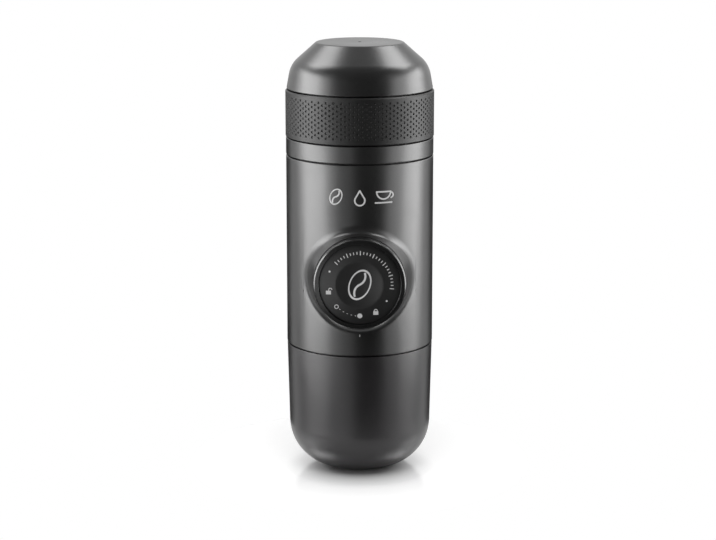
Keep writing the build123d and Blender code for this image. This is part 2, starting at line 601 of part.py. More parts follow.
# ================================================================ basket, outlet head, grip, scoop and cup
def filter_basket():
    bore_r = BASKET_R - BASKET_SHEET
    rim_r = WELL_R + BASKET_RIM_WIDTH
    floor_top = BASKET_FLOOR + BASKET_SHEET
    basket = lathe(
        (0, BASKET_FLOOR), (BASKET_R, BASKET_FLOOR), (BASKET_R, NECK_TOP), (rim_r, NECK_TOP),
        (rim_r, RIM_TOP), (bore_r, RIM_TOP), (bore_r, floor_top), (0, floor_top),
    )
    return basket - hole_field(
        bore_r - BASKET_HOLE_MARGIN, BASKET_HOLE_R, BASKET_HOLE_PITCH, BASKET_FLOOR, floor_top
    )


def head_gasket():
    bore_r = WELL_R + LOOSE
    return tube(bore_r + GASKET_WIDTH, bore_r, RIM_TOP + FACE_GAP, HEAD_BOTTOM)


def outlet_head():
    funnel_r = HEAD_DECK_R - HEAD_WALL
    return lathe(
        (HEAD_DECK_R, HEAD_BOTTOM), (HEAD_FLANGE_R, HEAD_BOTTOM), (HEAD_FLANGE_R, HEAD_FLANGE_TOP),
        (HEAD_DECK_R, HEAD_FLANGE_TOP), (HEAD_DECK_R, HEAD_DECK), (CONE_FOOT_R, HEAD_DECK),
        (CONE_TIP_R, CONE_TOP), (NOZZLE_R, CONE_TOP), (NOZZLE_R, NOZZLE_TOP), (NOZZLE_BORE_R, NOZZLE_TOP),
        (NOZZLE_BORE_R, CONE_TOP - FUNNEL_DEPTH), (CONE_FOOT_R - HEAD_WALL, HEAD_DECK - HEAD_WALL),
        (funnel_r, SCREEN_TOP), (HEAD_DECK_R, SCREEN_TOP),
    )


def outlet_screen():
    low = SCREEN_TOP - SCREEN_THICKNESS
    disc = rod(HEAD_DECK_R - SLIP, low, SCREEN_TOP)
    hole_circle_r = HEAD_DECK_R - SCREEN_HOLE_MARGIN
    return disc - hole_field(hole_circle_r, SCREEN_HOLE_R, SCREEN_HOLE_PITCH, low, SCREEN_TOP)


def grip_collar():
    lip_bore_r = HEAD_DECK_R + LOOSE
    skirt_r = SOCKET_R + GRIP_SKIRT_WALL
    collar = lathe(
        (SOCKET_R, GRIP_SKIRT_BOTTOM), (skirt_r, GRIP_SKIRT_BOTTOM), (skirt_r, GRIP_BOTTOM),
        (GRIP_R - GRIP_EDGE, GRIP_BOTTOM), (GRIP_R, GRIP_BOTTOM + GRIP_EDGE), (GRIP_R, GRIP_TOP - GRIP_EDGE),
        (GRIP_R - GRIP_EDGE, GRIP_TOP), (CUP_SOCKET_R, GRIP_TOP), (CUP_SOCKET_R, GRIP_LIP_TOP),
        (lip_bore_r, GRIP_LIP_TOP), (lip_bore_r, GRIP_LIP_BOTTOM), (SOCKET_R, GRIP_LIP_BOTTOM),
    )
    return collar + thread_ribs(SOCKET_R, SOCKET_TIP_R, NECK_RIB_Z - RIB_OFFSET)


def espresso_cup():
    outer = [
        (CUP_RIM_R, CUP_EDGE), (CUP_SHOULDER_R, CUP_EDGE + CUP_SHOULDER_RISE), (CUP_TOP_R, CUP_TOP),
        (0, CUP_TOP),
    ]
    dome_line = FilletPolyline(*outer, radius=[CUP_SHOULDER_CURVE_R, CUP_TOP_CURVE_R])
    closing = Polyline((0, CUP_TOP), (0, CUP_EDGE), (CUP_RIM_R, CUP_EDGE))
    dome = revolve(make_face(Plane.XZ * (dome_line + closing)), Axis.Z)

    lip = (CUP_SKIRT_BORE_R, CUP_EDGE + CUP_LIP_HEIGHT)
    inner = [lip] + parallel_line(outer, CUP_WALL)[1:]
    inner_line = FilletPolyline(*inner, radius=[CUP_SHOULDER_CURVE_R - CUP_WALL, CUP_TOP_CURVE_R])
    closing = Polyline(inner[-1], (0, CUP_SKIRT_BOTTOM), (CUP_SKIRT_BORE_R, CUP_SKIRT_BOTTOM), lip)
    inside = revolve(make_face(Plane.XZ * (inner_line + closing)), Axis.Z)

    cup = dome + rod(CUP_SKIRT_R, CUP_SKIRT_BOTTOM, CUP_EDGE) - inside
    cup -= wire_groove(CUP_SEAL_R, CUP_SEAL_WIRE_R, CUP_SEAL_Z)
    return cup - rod(CUP_DIMPLE_R, CUP_TOP - CUP_DIMPLE_DEPTH, CUP_TOP)


def cup_seal():
    return ring_of_wire(CUP_SEAL_R, CUP_SEAL_WIRE_R, CUP_SEAL_Z)


def scoop_tamper():
    bore_r = SCOOP_R - SCOOP_WALL
    tamper_bottom = SCOOP_TOP - SCOOP_TAMPER_THICKNESS
    bowl = lathe(
        (bore_r, SCOOP_BOTTOM), (SCOOP_R, SCOOP_BOTTOM), (SCOOP_R, SCOOP_TOP - SCOOP_BEVEL),
        (SCOOP_R - SCOOP_BEVEL, SCOOP_TOP), (0, SCOOP_TOP), (0, tamper_bottom), (bore_r, tamper_bottom),
    )
    tab_top = SCOOP_TAB_BOTTOM + SCOOP_TAB_THICKNESS
    tab = Box(BODY_R, SCOOP_TAB_WIDTH, SCOOP_TAB_THICKNESS, align=(Align.MIN, Align.CENTER, Align.MIN))
    tab_room = tube(SCOOP_TAB_REACH, SCOOP_R - SCOOP_WALL / 2, SCOOP_TAB_BOTTOM, tab_top)
    return bowl + (Pos(0, 0, SCOOP_TAB_BOTTOM) * tab & tab_room)


# ================================================================ pump and knob, along the knob's axis
def pump_cylinder():
    cylinder = lathe(
        (PUMP_BORE_R, PUMP_REAR), (PUMP_R, PUMP_REAR), (PUMP_R, PUMP_WALL_FRONT),
        (PUMP_FLANGE_R, PUMP_WALL_FRONT), (PUMP_FLANGE_R, PUMP_FRONT), (PUMP_BORE_R, PUMP_FRONT),
    )
    return KNOB_AXIS * cylinder - pump_screw_holes(PUMP_WALL_FRONT, PUMP_FRONT)


def pump_gasket():
    return KNOB_AXIS * tube(PUMP_R, PUMP_BORE_R, VALVE_SOCKET_FLOOR, PUMP_REAR)


def rod_guide():
    guide = tube(PUMP_FLANGE_R, ROD_R + FACE_GAP, PUMP_FRONT, GUIDE_FRONT)
    return KNOB_AXIS * guide - pump_screw_holes(PUMP_FRONT, GUIDE_FRONT)


def lock_ring():
    """Guides the knob. The lugs run in its tracks, and the lands between the tracks end their turn."""
    lip_bore_r = LOCK_SLEEVE_BORE_R - LOCK_LIP_WIDTH
    ring = lathe(
        (lip_bore_r, GUIDE_FRONT), (LOCK_SLEEVE_R, GUIDE_FRONT), (LOCK_SLEEVE_R, LOCK_SLEEVE_FRONT),
        (LOCK_SLEEVE_BORE_R, LOCK_SLEEVE_FRONT), (LOCK_SLEEVE_BORE_R, LOCK_LIP_FRONT),
        (lip_bore_r, LOCK_LIP_FRONT),
    )
    track_start = -LOCK_LUG_ARC / 2 - LOCK_LUG_PLAY
    track_arc = LOCK_TURN + LOCK_LUG_ARC + 2 * LOCK_LUG_PLAY
    for n in range(LOCK_LUGS):
        start = track_start + 360 / LOCK_LUGS * n
        ring -= tube_sector(KNOB_BORE_R, LOCK_TRACK_R, GUIDE_FRONT, LOCK_SLEEVE_FRONT, start, track_arc)
    return KNOB_AXIS * ring - pump_screw_holes(GUIDE_FRONT, LOCK_LIP_FRONT)


def pump_screws():
    one = Pos(0, 0, LOCK_LIP_FRONT) * screw(**PUMP_SCREW)
    places = around(SCREWS_PER_RING, PUMP_SCREW_CIRCLE_R)
    return Compound(children=[KNOB_AXIS * place * one for place in places])


def piston_rod():
    piston = rod(PISTON_R, PISTON_REAR, PISTON_FRONT)
    piston -= wire_groove(PISTON_SEAL_R, PISTON_SEAL_WIRE_R, PISTON_SEAL_AT)
    screw_end = KNOB_SCREW_SEAT - KNOB_SCREW["shank"] - SCREW_HOLE_SPARE
    screw_hole = rod(KNOB_SCREW["shank_r"] + SCREW_FIT, screw_end, ROD_FRONT)
    return KNOB_AXIS * (piston + rod(ROD_R, PISTON_FRONT, ROD_FRONT) - screw_hole)


def piston_seal():
    return KNOB_AXIS * ring_of_wire(PISTON_SEAL_R, PISTON_SEAL_WIRE_R, PISTON_SEAL_AT)


def return_spring():
    low = GUIDE_FRONT + FACE_GAP
    return KNOB_AXIS * coil(SPRING_R, SPRING_WIRE_R, low, KNOB_INNER - FACE_GAP, SPRING_TURNS)


def knob_screw():
    return KNOB_AXIS * Pos(0, 0, KNOB_SCREW_SEAT) * screw(**KNOB_SCREW)


def knob_cap():
    hub_bore_r = ROD_R + FACE_GAP
    hub_bore_front = ROD_FRONT + FACE_GAP
    recess_r = KNOB_R - KNOB_RIM_WIDTH
    cap = lathe(
        (KNOB_BORE_R, KNOB_REAR), (KNOB_R, KNOB_REAR), (KNOB_R, KNOB_FRONT - KNOB_EDGE),
        (KNOB_R - KNOB_EDGE, KNOB_FRONT), (recess_r, KNOB_FRONT), (recess_r, KNOB_FLOOR), (0, KNOB_FLOOR),
        (0, hub_bore_front), (hub_bore_r, hub_bore_front), (hub_bore_r, HUB_REAR), (HUB_R, HUB_REAR),
        (HUB_R, KNOB_INNER), (KNOB_BORE_R, KNOB_INNER),
    )
    lug_rear = KNOB_REAR + LOCK_LUG_SETBACK
    lug_front = lug_rear + LOCK_LUG_LENGTH
    for n in range(LOCK_LUGS):
        start = 360 / LOCK_LUGS * n - LOCK_LUG_ARC / 2
        cap += tube_sector(
            KNOB_BORE_R + KNOB_WALL / 2, LOCK_TRACK_R + LOOSE, lug_rear, lug_front, start, LOCK_LUG_ARC
        )
    cap -= rod(KNOB_SCREW["shank_r"] + SLIP, HUB_REAR, KNOB_FLOOR)
    cap -= rod(KNOB_SCREW["head_r"] + LOOSE, KNOB_SCREW_SEAT - FACE_GAP, KNOB_FLOOR)
    return KNOB_AXIS * cap


def knob_face():
    disc_r = KNOB_R - KNOB_RIM_WIDTH - SLIP
    low = KNOB_FLOOR + FACE_GAP
    top = low + FACE_THICKNESS
    disc = lathe((0, low), (disc_r, low), (disc_r, top - EDGE), (disc_r - EDGE, top), (0, top))
    dish_ball_r = (DISH_R**2 + DISH_DEPTH**2) / (2 * DISH_DEPTH)
    return KNOB_AXIS * (disc - Pos(0, 0, top - DISH_DEPTH + dish_ball_r) * Sphere(dish_ball_r))


# ================================================================ valves
def valve_block():
    column = VALVE_AXIS * rod(VALVE_BLOCK_R, BULKHEAD_TOP, WELL_UNDERSIDE)
    block = column + KNOB_AXIS * rod(VALVE_SOCKET_R, -VALVE_Y, VALVE_SOCKET_FRONT)
    block -= KNOB_AXIS * rod(PUMP_R + SLIP, VALVE_SOCKET_FLOOR, VALVE_SOCKET_FRONT)
    block -= KNOB_AXIS * rod(PUMP_PORT_R, -VALVE_Y, VALVE_SOCKET_FLOOR)
    water_way = [
        rod(INLET_SEAT_R, BULKHEAD_TOP, INLET_SEAT_Z),
        rod(VALVE_CHAMBER_R, INLET_SEAT_Z, INLET_SEAT_Z + VALVE_CHAMBER_LENGTH),
        rod(VALVE_PORT_R, INLET_SEAT_Z, OUTLET_SEAT_Z),
        rod(VALVE_CHAMBER_R, OUTLET_SEAT_Z, WELL_UNDERSIDE),
    ]
    return block - [VALVE_AXIS * drill for drill in water_way]


def inlet_seat():
    low = INLET_SEAT_Z - INLET_SEAT_LENGTH
    return VALVE_AXIS * tube(INLET_SEAT_R - SCREW_FIT, VALVE_PORT_R, low, INLET_SEAT_Z)


def ball_height(seat):
    """Height of a ball's centre when it lies on the edge of its port."""
    return seat + math.sqrt((BALL_R + FACE_GAP) ** 2 - VALVE_PORT_R**2)


def valve_ball(seat):
    return VALVE_AXIS * Pos(0, 0, ball_height(seat)) * Sphere(BALL_R)


def valve_spring(seat):
    reach = BALL_R + VALVE_SPRING_WIRE_R + FACE_GAP
    wire_centre = ball_height(seat) + math.sqrt(reach**2 - VALVE_SPRING_R**2)
    high = seat + VALVE_CHAMBER_LENGTH - FACE_GAP
    return VALVE_AXIS * coil(
        VALVE_SPRING_R, VALVE_SPRING_WIRE_R, wire_centre - VALVE_SPRING_WIRE_R, high, VALVE_SPRING_TURNS
    )


def outlet_plug():
    return VALVE_AXIS * tube(VALVE_CHAMBER_R - SCREW_FIT, VALVE_PORT_R, OUTLET_PLUG_BOTTOM, RISER_BOTTOM)


def riser_tube():
    outer_r = VALVE_CHAMBER_R - SCREW_FIT
    return VALVE_AXIS * tube(outer_r, outer_r - RISER_WALL, RISER_BOTTOM, WELL_FLOOR)


def intake_strainer():
    top = HOUSING_BOTTOM - FACE_GAP
    low = top - STRAINER_HEIGHT
    bore_r = SPIGOT_R + SCREW_FIT
    floor_top = low + STRAINER_FLOOR
    cap = lathe(
        (0, low), (STRAINER_R, low), (STRAINER_R, top), (bore_r, top), (bore_r, floor_top),
        (0, floor_top),
    )
    return VALVE_AXIS * (cap - hole_field(bore_r, STRAINER_HOLE_R, STRAINER_HOLE_PITCH, low, floor_top))


def air_valve():
    top = HOUSING_BOTTOM - FACE_GAP
    flap = top - AIR_VALVE_THICKNESS
    bead = BULKHEAD_TOP + FACE_GAP
    shape = lathe(
        (0, flap), (AIR_VALVE_R - AIR_VALVE_EDGE, flap), (AIR_VALVE_R, top), (AIR_STEM_R, top),
        (AIR_STEM_R, bead), (AIR_BEAD_R, bead), (AIR_STEM_R, bead + AIR_BEAD_HEIGHT),
        (0, bead + AIR_BEAD_HEIGHT),
    )
    return Pos(0, AIR_VALVE_Y, 0) * shape


# ================================================================ one file for each node
NODES = {
    "water_tank": water_tank(),
    "tank_seal": tank_seal(),
    "main_housing": main_housing(),
    "collar_ring": collar_ring(),
    "inner_frame": inner_frame(),
    "lower_bulkhead": lower_bulkhead(),
    "housing_seal": housing_seal(),
    "frame_screws": frame_screws(),
    "filter_basket": filter_basket(),
    "head_gasket": head_gasket(),
    "outlet_head": outlet_head(),
    "outlet_screen": outlet_screen(),
    "grip_collar": grip_collar(),
    "espresso_cup": espresso_cup(),
    "cup_seal": cup_seal(),
    "scoop_tamper": scoop_tamper(),
    "pump_cylinder": pump_cylinder(),
    "pump_gasket": pump_gasket(),
    "rod_guide": rod_guide(),
    "lock_ring": lock_ring(),
    "pump_screws": pump_screws(),
    "piston_rod": piston_rod(),
    "piston_seal": piston_seal(),
    "return_spring": return_spring(),
    "knob_screw": knob_screw(),
    "knob_cap": knob_cap(),
    "knob_face": knob_face(),
    "valve_block": valve_block(),
    "inlet_seat": inlet_seat(),
    "inlet_ball": valve_ball(INLET_SEAT_Z),
    "inlet_spring": valve_spring(INLET_SEAT_Z),
    "outlet_ball": valve_ball(OUTLET_SEAT_Z),
    "outlet_spring": valve_spring(OUTLET_SEAT_Z),
    "outlet_plug": outlet_plug(),
    "riser_tube": riser_tube(),
    "intake_strainer": intake_strainer(),
    "air_valve": air_valve(),
}

for name, shape in NODES.items():
    export_step(shape, f"parts/{name}.step")
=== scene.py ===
# %% [markdown]
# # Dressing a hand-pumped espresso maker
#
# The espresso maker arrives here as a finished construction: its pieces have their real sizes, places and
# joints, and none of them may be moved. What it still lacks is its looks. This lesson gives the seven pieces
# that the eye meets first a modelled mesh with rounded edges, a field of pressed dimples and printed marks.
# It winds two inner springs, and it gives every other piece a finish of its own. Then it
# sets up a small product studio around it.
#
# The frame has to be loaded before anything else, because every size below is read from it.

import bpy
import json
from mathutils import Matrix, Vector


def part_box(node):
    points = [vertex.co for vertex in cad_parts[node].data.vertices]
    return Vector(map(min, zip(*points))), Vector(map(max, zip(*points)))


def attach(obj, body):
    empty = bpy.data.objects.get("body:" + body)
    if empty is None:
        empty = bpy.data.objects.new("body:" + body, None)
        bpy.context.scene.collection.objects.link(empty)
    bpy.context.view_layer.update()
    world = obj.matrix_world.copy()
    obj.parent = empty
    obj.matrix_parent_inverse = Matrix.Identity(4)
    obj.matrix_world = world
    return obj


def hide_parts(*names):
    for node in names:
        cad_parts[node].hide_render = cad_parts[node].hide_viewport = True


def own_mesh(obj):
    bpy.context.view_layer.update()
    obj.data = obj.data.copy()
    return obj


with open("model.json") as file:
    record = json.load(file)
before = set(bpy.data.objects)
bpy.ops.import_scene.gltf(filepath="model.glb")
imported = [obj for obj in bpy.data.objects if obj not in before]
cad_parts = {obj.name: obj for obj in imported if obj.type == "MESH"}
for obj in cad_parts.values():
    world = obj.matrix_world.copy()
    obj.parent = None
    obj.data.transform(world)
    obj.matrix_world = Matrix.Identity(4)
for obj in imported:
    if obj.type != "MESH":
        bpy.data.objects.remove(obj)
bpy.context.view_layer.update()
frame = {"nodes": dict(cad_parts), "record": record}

# %% The modules that the lesson needs
import json
import math

import bmesh
import bpy
from mathutils import Matrix, Vector

scene = bpy.context.scene
scene.view_settings.view_transform = "Standard"

# %% [markdown]
# ## Units and sizes
#
# Blender counts in metres, but nobody thinks of an espresso maker in thousandths of a metre. Every mesh here
# is drawn in millimetres and shrunk once, when it becomes an object. The outside sizes come from the frame:
# a node's box tells how far it reaches sideways, how far forward, and between which heights it lies.

# %% Millimetres, and the outside sizes of the pieces
MM = 0.001


class Extent:
    """A node's reach in millimetres: its radius in X, its front in Y, and its two heights."""

    def __init__(self, node):
        low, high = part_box(node)
        self.radius = high.x / MM
        self.front = low.y / MM
        self.low = low.z / MM
        self.high = high.z / MM
        self.middle = (self.low + self.high) / 2


TANK = Extent("water_tank")
HOUSING = Extent("main_housing")
RING = Extent("collar_ring")
GRIP = Extent("grip_collar")
CUP = Extent("espresso_cup")
KNOB = Extent("knob_cap")
FACE = Extent("knob_face")
KNOB_Z = KNOB.middle
print("height:", round(CUP.high, 2), "mm, knob axis at", round(KNOB_Z, 2), "mm")

# %% [markdown]
# ## The camera
#
# A product is best seen from further back through a long lens, so that its sides stay nearly straight.
# The camera stands about 0.85 m away, a little above the cup, and looks down on the maker. Its lens is given
# for a sensor 36 mm wide, which is Blender's own default.

# %% A long lens, a little above the cup
CAMERA_PLACE = (-0.0007, -0.8448, 0.2658)
CAMERA_TILT = 12.32  # degrees below the level
CAMERA_LENS = 105.93

camera_data = bpy.data.cameras.new("camera")
camera_data.lens = CAMERA_LENS
camera_data.sensor_width = 36.0
camera_data.sensor_fit = "HORIZONTAL"
camera_data.clip_start = 0.01
camera = bpy.data.objects.new("camera", camera_data)
camera.location = CAMERA_PLACE
camera.rotation_euler = (math.radians(90 - CAMERA_TILT), 0, 0)
scene.collection.objects.link(camera)
scene.camera = camera
print("lens:", camera_data.lens, "mm")

# %% [markdown]
# ## Building materials out of small parts
#
# A material is a tree of nodes. Placing a node takes three steps: make it, set its properties, and give its
# inputs either a value or a link. One short helper does all three, so that each material below reads like a
# recipe. A second helper starts a node group, which is a small tree with named sockets that several
# materials share, and a third starts a material.

# %% Helpers that place nodes and start node groups and materials
def place(tree, kind, inputs=None, **properties):
    """Adds a node to a tree. Its inputs take numbers, colours, or the output sockets of other nodes."""
    node = tree.nodes.new("ShaderNode" + kind)
    for name, value in properties.items():
        setattr(node, name, value)
    for name, value in (inputs or {}).items():
        if isinstance(value, bpy.types.NodeSocket):
            tree.links.new(value, node.inputs[name])
        else:
            node.inputs[name].default_value = value
    return node


def start_group(name, inputs, outputs):
    """Starts a node group with float inputs {name: default} and float outputs, and returns it."""
    tree = bpy.data.node_groups.new(name, "ShaderNodeTree")
    for socket, default in inputs.items():
        made = tree.interface.new_socket(socket, in_out="INPUT", socket_type="NodeSocketFloat")
        made.default_value = default
    for socket in outputs:
        tree.interface.new_socket(socket, in_out="OUTPUT", socket_type="NodeSocketFloat")
    return tree, tree.nodes.new("NodeGroupInput").outputs, tree.nodes.new("NodeGroupOutput").inputs


def start_material(name):
    """Starts a material, and returns it with its tree and the shader that it comes with."""
    material = bpy.data.materials.new(name)
    material.use_nodes = True
    return material, material.node_tree, material.node_tree.nodes["Principled BSDF"]


# %% [markdown]
# ### Moulded grain
#
# The mould of a satin plastic part is etched or blasted, which leaves fine grain of about a third of a
# millimetre. It breaks up a highlight without changing the outline, so it belongs in a bump and not in the
# mesh. On top of it a moulding is never evenly glossy: broad, faint patches differ where the plastic filled
# the mould. The group gives both as values, and each plastic decides how much of them it takes.

# %% A node group for moulded grain
grain_group, takes, gives = start_group(
    "moulded_grain", {"Grain per metre": 2600.0, "Patches per metre": 38.0}, ["Height", "Patch", "Fleck"]
)
where = place(grain_group, "TexCoord").outputs["Object"]
fine = place(grain_group, "TexNoise", {"Vector": where, "Scale": takes["Grain per metre"], "Detail": 2.0})
broad = place(grain_group, "TexNoise", {"Vector": where, "Scale": takes["Patches per metre"], "Detail": 5.0})
spots = place(grain_group, "TexVoronoi", {"Vector": where, "Scale": takes["Grain per metre"]})
for source, name in ((fine, "Height"), (broad, "Patch")):
    grain_group.links.new(source.outputs[0], gives[name])
grain_group.links.new(spots.outputs["Distance"], gives["Fleck"])
print("group:", grain_group.name)

# %% [markdown]
# ### Turned and drawn metal
#
# Pressed steel shows very fine lines along the way that it was drawn, here around the object's axis. Noise
# that is stretched far along one direction gives such lines. The group squeezes the height and leaves the
# other two directions alone, so rings of equal height share one value.

# %% A node group for drawn lines
line_group, takes, gives = start_group("drawn_lines", {"Lines per metre": 9000.0}, ["Height", "Tone"])
where = place(line_group, "TexCoord").outputs["Object"]
squeezed = place(line_group, "Mapping", {"Vector": where, "Scale": (0.02, 0.02, 1.0)}).outputs[0]
lines = place(line_group, "TexNoise", {"Vector": squeezed, "Scale": takes["Lines per metre"], "Detail": 2.0})
tone = place(line_group, "TexNoise", {"Vector": where, "Scale": 60.0, "Detail": 4.0})
line_group.links.new(lines.outputs[0], gives["Height"])
line_group.links.new(tone.outputs[0], gives["Tone"])
print("group:", line_group.name)

# %% [markdown]
# ### A plastic, from a few numbers
#
# All the plastics here differ only in colour, gloss and grain, so one function makes them. Its colour runs
# between two close tones along the grain, its roughness wanders a little with the broad patches, and its
# bump comes from the grain. A value that is even over the whole surface is set straight on the shader.

# %% A function for plastics
def vary(tree, source, low, high):
    """Stretches a noise value, which stays near one half, over the range from low to high."""
    spread = place(tree, "MapRange", {"Value": source, "From Min": 0.3, "From Max": 0.7})
    spread.inputs["To Min"].default_value = low
    spread.inputs["To Max"].default_value = high
    return spread.outputs["Result"]


def plastic(name, dark, light, roughness, spread=0.04, grain=2600.0, depth=0.00002, strength=0.25, level=0.5):
    """A moulded plastic. dark and light are the two tones of its colour, as grey or as (r, g, b)."""
    material, tree, shader = start_material(name)
    group = place(tree, "Group", {"Grain per metre": grain}, node_tree=grain_group)
    colour = place(tree, "Mix", {"Factor": group.outputs["Fleck"]}, data_type="RGBA")
    for socket, tone in zip((s for s in colour.inputs if s.type == "RGBA"), (light, dark)):
        socket.default_value = (*((tone,) * 3 if isinstance(tone, float) else tone), 1.0)
    mixed = next(s for s in colour.outputs if s.type == "RGBA")
    tree.links.new(mixed, shader.inputs["Base Color"])
    gloss = vary(tree, group.outputs["Patch"], roughness - spread, roughness + spread)
    tree.links.new(gloss, shader.inputs["Roughness"])
    bump = place(tree, "Bump", {"Height": group.outputs["Height"], "Strength": strength, "Distance": depth})
    tree.links.new(bump.outputs["Normal"], shader.inputs["Normal"])
    shader.inputs["IOR"].default_value = 1.5
    shader.inputs["Specular IOR Level"].default_value = level
    return material


# %% The plastics of the outside, from the foot up
tank_plastic = plastic("tank_plastic", (0.011, 0.010, 0.011), (0.018, 0.016, 0.018), 0.33)
shell_plastic = plastic("shell_plastic", 0.011, 0.018, 0.31)
grip_plastic = plastic("grip_plastic", 0.008, 0.013, 0.42, level=0.24)
cup_plastic = plastic("cup_plastic", 0.011, 0.018, 0.31)
knob_plastic = plastic("knob_plastic", 0.009, 0.015, 0.24, spread=0.03, strength=0.12)
face_plastic = plastic("face_plastic", 0.013, 0.021, 0.34, strength=0.2, level=0.6)
outside = (tank_plastic, shell_plastic, grip_plastic, cup_plastic, knob_plastic, face_plastic)
print("outside plastics:", len(outside))

# %% The plastics of the inside
frame_plastic = plastic("frame_plastic", 0.075, 0.105, 0.42)
valve_plastic = plastic("valve_plastic", 0.26, 0.31, 0.38)
pump_plastic = plastic("pump_plastic", 0.50, 0.58, 0.30, strength=0.12)
outlet_plastic = plastic("outlet_plastic", 0.012, 0.020, 0.20, strength=0.08)
scoop_plastic = plastic("scoop_plastic", 0.020, 0.034, 0.40)
print_ink = plastic("print_ink", 0.72, 0.80, 0.55, grain=5200.0, depth=0.000008)
inside = (frame_plastic, valve_plastic, pump_plastic, outlet_plastic, scoop_plastic)
print("inside plastics:", len(inside), "and", print_ink.name)

# %% [markdown]
# ### Rubber, silicone and steel
#
# A seal is matt and slightly soft-looking: a sheen lifts its edges. Silicone lets some light through, which
# a little subsurface scattering shows. Steel is a metal, so its colour is its reflection, and the drawn
# lines work on its roughness and its bump.

# %% Rubber and silicone grow from the plastic recipe
rubber = plastic("seal_rubber", 0.014, 0.024, 0.62, grain=3400.0, strength=0.35)
rubber.node_tree.nodes["Principled BSDF"].inputs["Sheen Weight"].default_value = 0.25
silicone = plastic("silicone", (0.60, 0.60, 0.57), (0.68, 0.68, 0.66), 0.45, grain=1800.0, strength=0.15)
soft = silicone.node_tree.nodes["Principled BSDF"].inputs
soft["Subsurface Weight"].default_value = 0.3
soft["Subsurface Scale"].default_value = 0.0015
print("soft finishes:", rubber.name, silicone.name)

# %% Steel, with drawn lines
STEEL_TONE = 0.52
steel, tree, shader = start_material("drawn_steel")
group = place(tree, "Group", node_tree=line_group)
shader.inputs["Metallic"].default_value = 1.0
ramp = place(tree, "ValToRGB", {"Fac": group.outputs["Tone"]})
ramp.color_ramp.elements[0].color = (STEEL_TONE * 0.92, STEEL_TONE * 0.92, STEEL_TONE * 0.93, 1.0)
ramp.color_ramp.elements[1].color = (STEEL_TONE, STEEL_TONE, STEEL_TONE * 1.01, 1.0)
tree.links.new(ramp.outputs["Color"], shader.inputs["Base Color"])
tree.links.new(vary(tree, group.outputs["Height"], 0.20, 0.32), shader.inputs["Roughness"])
bump = place(tree, "Bump", {"Height": group.outputs["Height"], "Strength": 0.15, "Distance": 0.00001})
tree.links.new(bump.outputs["Normal"], shader.inputs["Normal"])
print("metal:", steel.name)

# %% [markdown]
# ## Turning a piece on a lathe
#
# Six of the seven outside pieces are bodies of revolution, made the way that a turner would: draw half of
# the section, then turn it about the axis. In Blender that is bmesh.ops.spin. The same operator also draws
# the rounded corners of the section, because a single vertex that is spun about a point leaves an arc.
#
# A section is a list of corners. A third number gives a corner the radius of its rounding. Where two
# neighbouring corners lie on the axis no edge joins them, so no needless faces arise inside the solid.

# %% Draw a section with rounded corners
FINE_ARC = math.radians(6)  # the largest turn of one step along a big rounding
EDGE_STEPS = 3  # steps in a rounding under a millimetre


def draw_rounding(bm, last, here, following, radius):
    """Draws the arc that rounds the corner here, and returns its two end vertices."""
    back = (last - here).normalized()
    ahead = (following - here).normalized()
    turn = math.pi - back.angle(ahead)
    reach = radius * math.tan(turn / 2)
    centre = here + (back + ahead).normalized() * radius / math.cos(turn / 2)
    start, end = here + back * reach, here + ahead * reach
    axis = (start - centre).cross(end - centre).normalized()
    steps = EDGE_STEPS if radius < 1 else math.ceil(turn / FINE_ARC)
    vertex = bm.verts.new(start)
    spun = bmesh.ops.spin(bm, geom=[vertex], cent=centre, axis=axis, angle=turn, steps=steps)
    return vertex, spun["geom_last"][0]


def draw_section(bm, corners, closed=True):
    """Draws a section in the XZ plane from corners (radius, height) or (radius, height, rounding)."""
    points = [Vector((corner[0], 0, corner[1])) for corner in corners]
    ends = []
    for n, corner in enumerate(corners):
        if len(corner) == 3:
            ends.append(draw_rounding(bm, points[n - 1], points[n], points[(n + 1) % len(points)], corner[2]))
        else:
            ends.append((bm.verts.new(points[n]),) * 2)
    following = ends[1:] + ends[:1] if closed else ends[1:]
    for (_, last), (first, _) in zip(ends, following):
        if last.co.x > 0 or first.co.x > 0:
            bm.edges.new((last, first))


# %% [markdown]
# Nearly every turn in this lesson is about the Z axis, so one helper holds that part of the call. A full
# turn needs use_merge, which joins its end to its start. Doubles on the axis are merged afterwards, so that
# the pole is one vertex, and then the normals are recalculated, because a turn can leave the skin inside
# out.

# %% Turn the section
ROUND_STEPS = 192  # faces around a body


def clean(bm, closest=0.0005):
    """Merges doubled vertices and points every face outwards."""
    bmesh.ops.remove_doubles(bm, verts=bm.verts, dist=closest)
    bmesh.ops.recalc_face_normals(bm, faces=bm.faces)


def spin_about_z(bm, geom, angle, steps, **more):
    """Spins geometry about the Z axis."""
    bmesh.ops.spin(bm, geom=geom, cent=(0, 0, 0), axis=(0, 0, 1), angle=angle, steps=steps, **more)


def turn_fully(bm, steps):
    """Turns a section once around, and joins the end to the start."""
    spin_about_z(bm, bm.verts[:] + bm.edges[:], math.tau, steps, use_merge=True)


def turned(corners, steps=ROUND_STEPS):
    """A bmesh of the solid that a section makes when it is turned about Z."""
    bm = bmesh.new()
    draw_section(bm, corners)
    turn_fully(bm, steps)
    clean(bm)
    bmesh.ops.delete(bm, geom=[edge for edge in bm.edges if not edge.link_faces], context="EDGES")
    flat_poles = [
        vert for vert in bm.verts
        if vert.co.xy.length < 0.001
        and all(abs(edge.other_vert(vert).co.z - vert.co.z) < 0.001 for edge in vert.link_edges)
    ]
    bmesh.ops.dissolve_verts(bm, verts=flat_poles)
    return bm


# %% [markdown]
# When a bmesh becomes an object it gets its name, its finish and the body that it moves with. Its faces are
# shaded smoothly except across real edges, and a Weighted Normal modifier lets the large faces keep their
# own direction where they meet a narrow rounding. Without it the rounding would shade the whole wall.

# %% Make an object of a bmesh
SHARP_EDGE = math.radians(38)


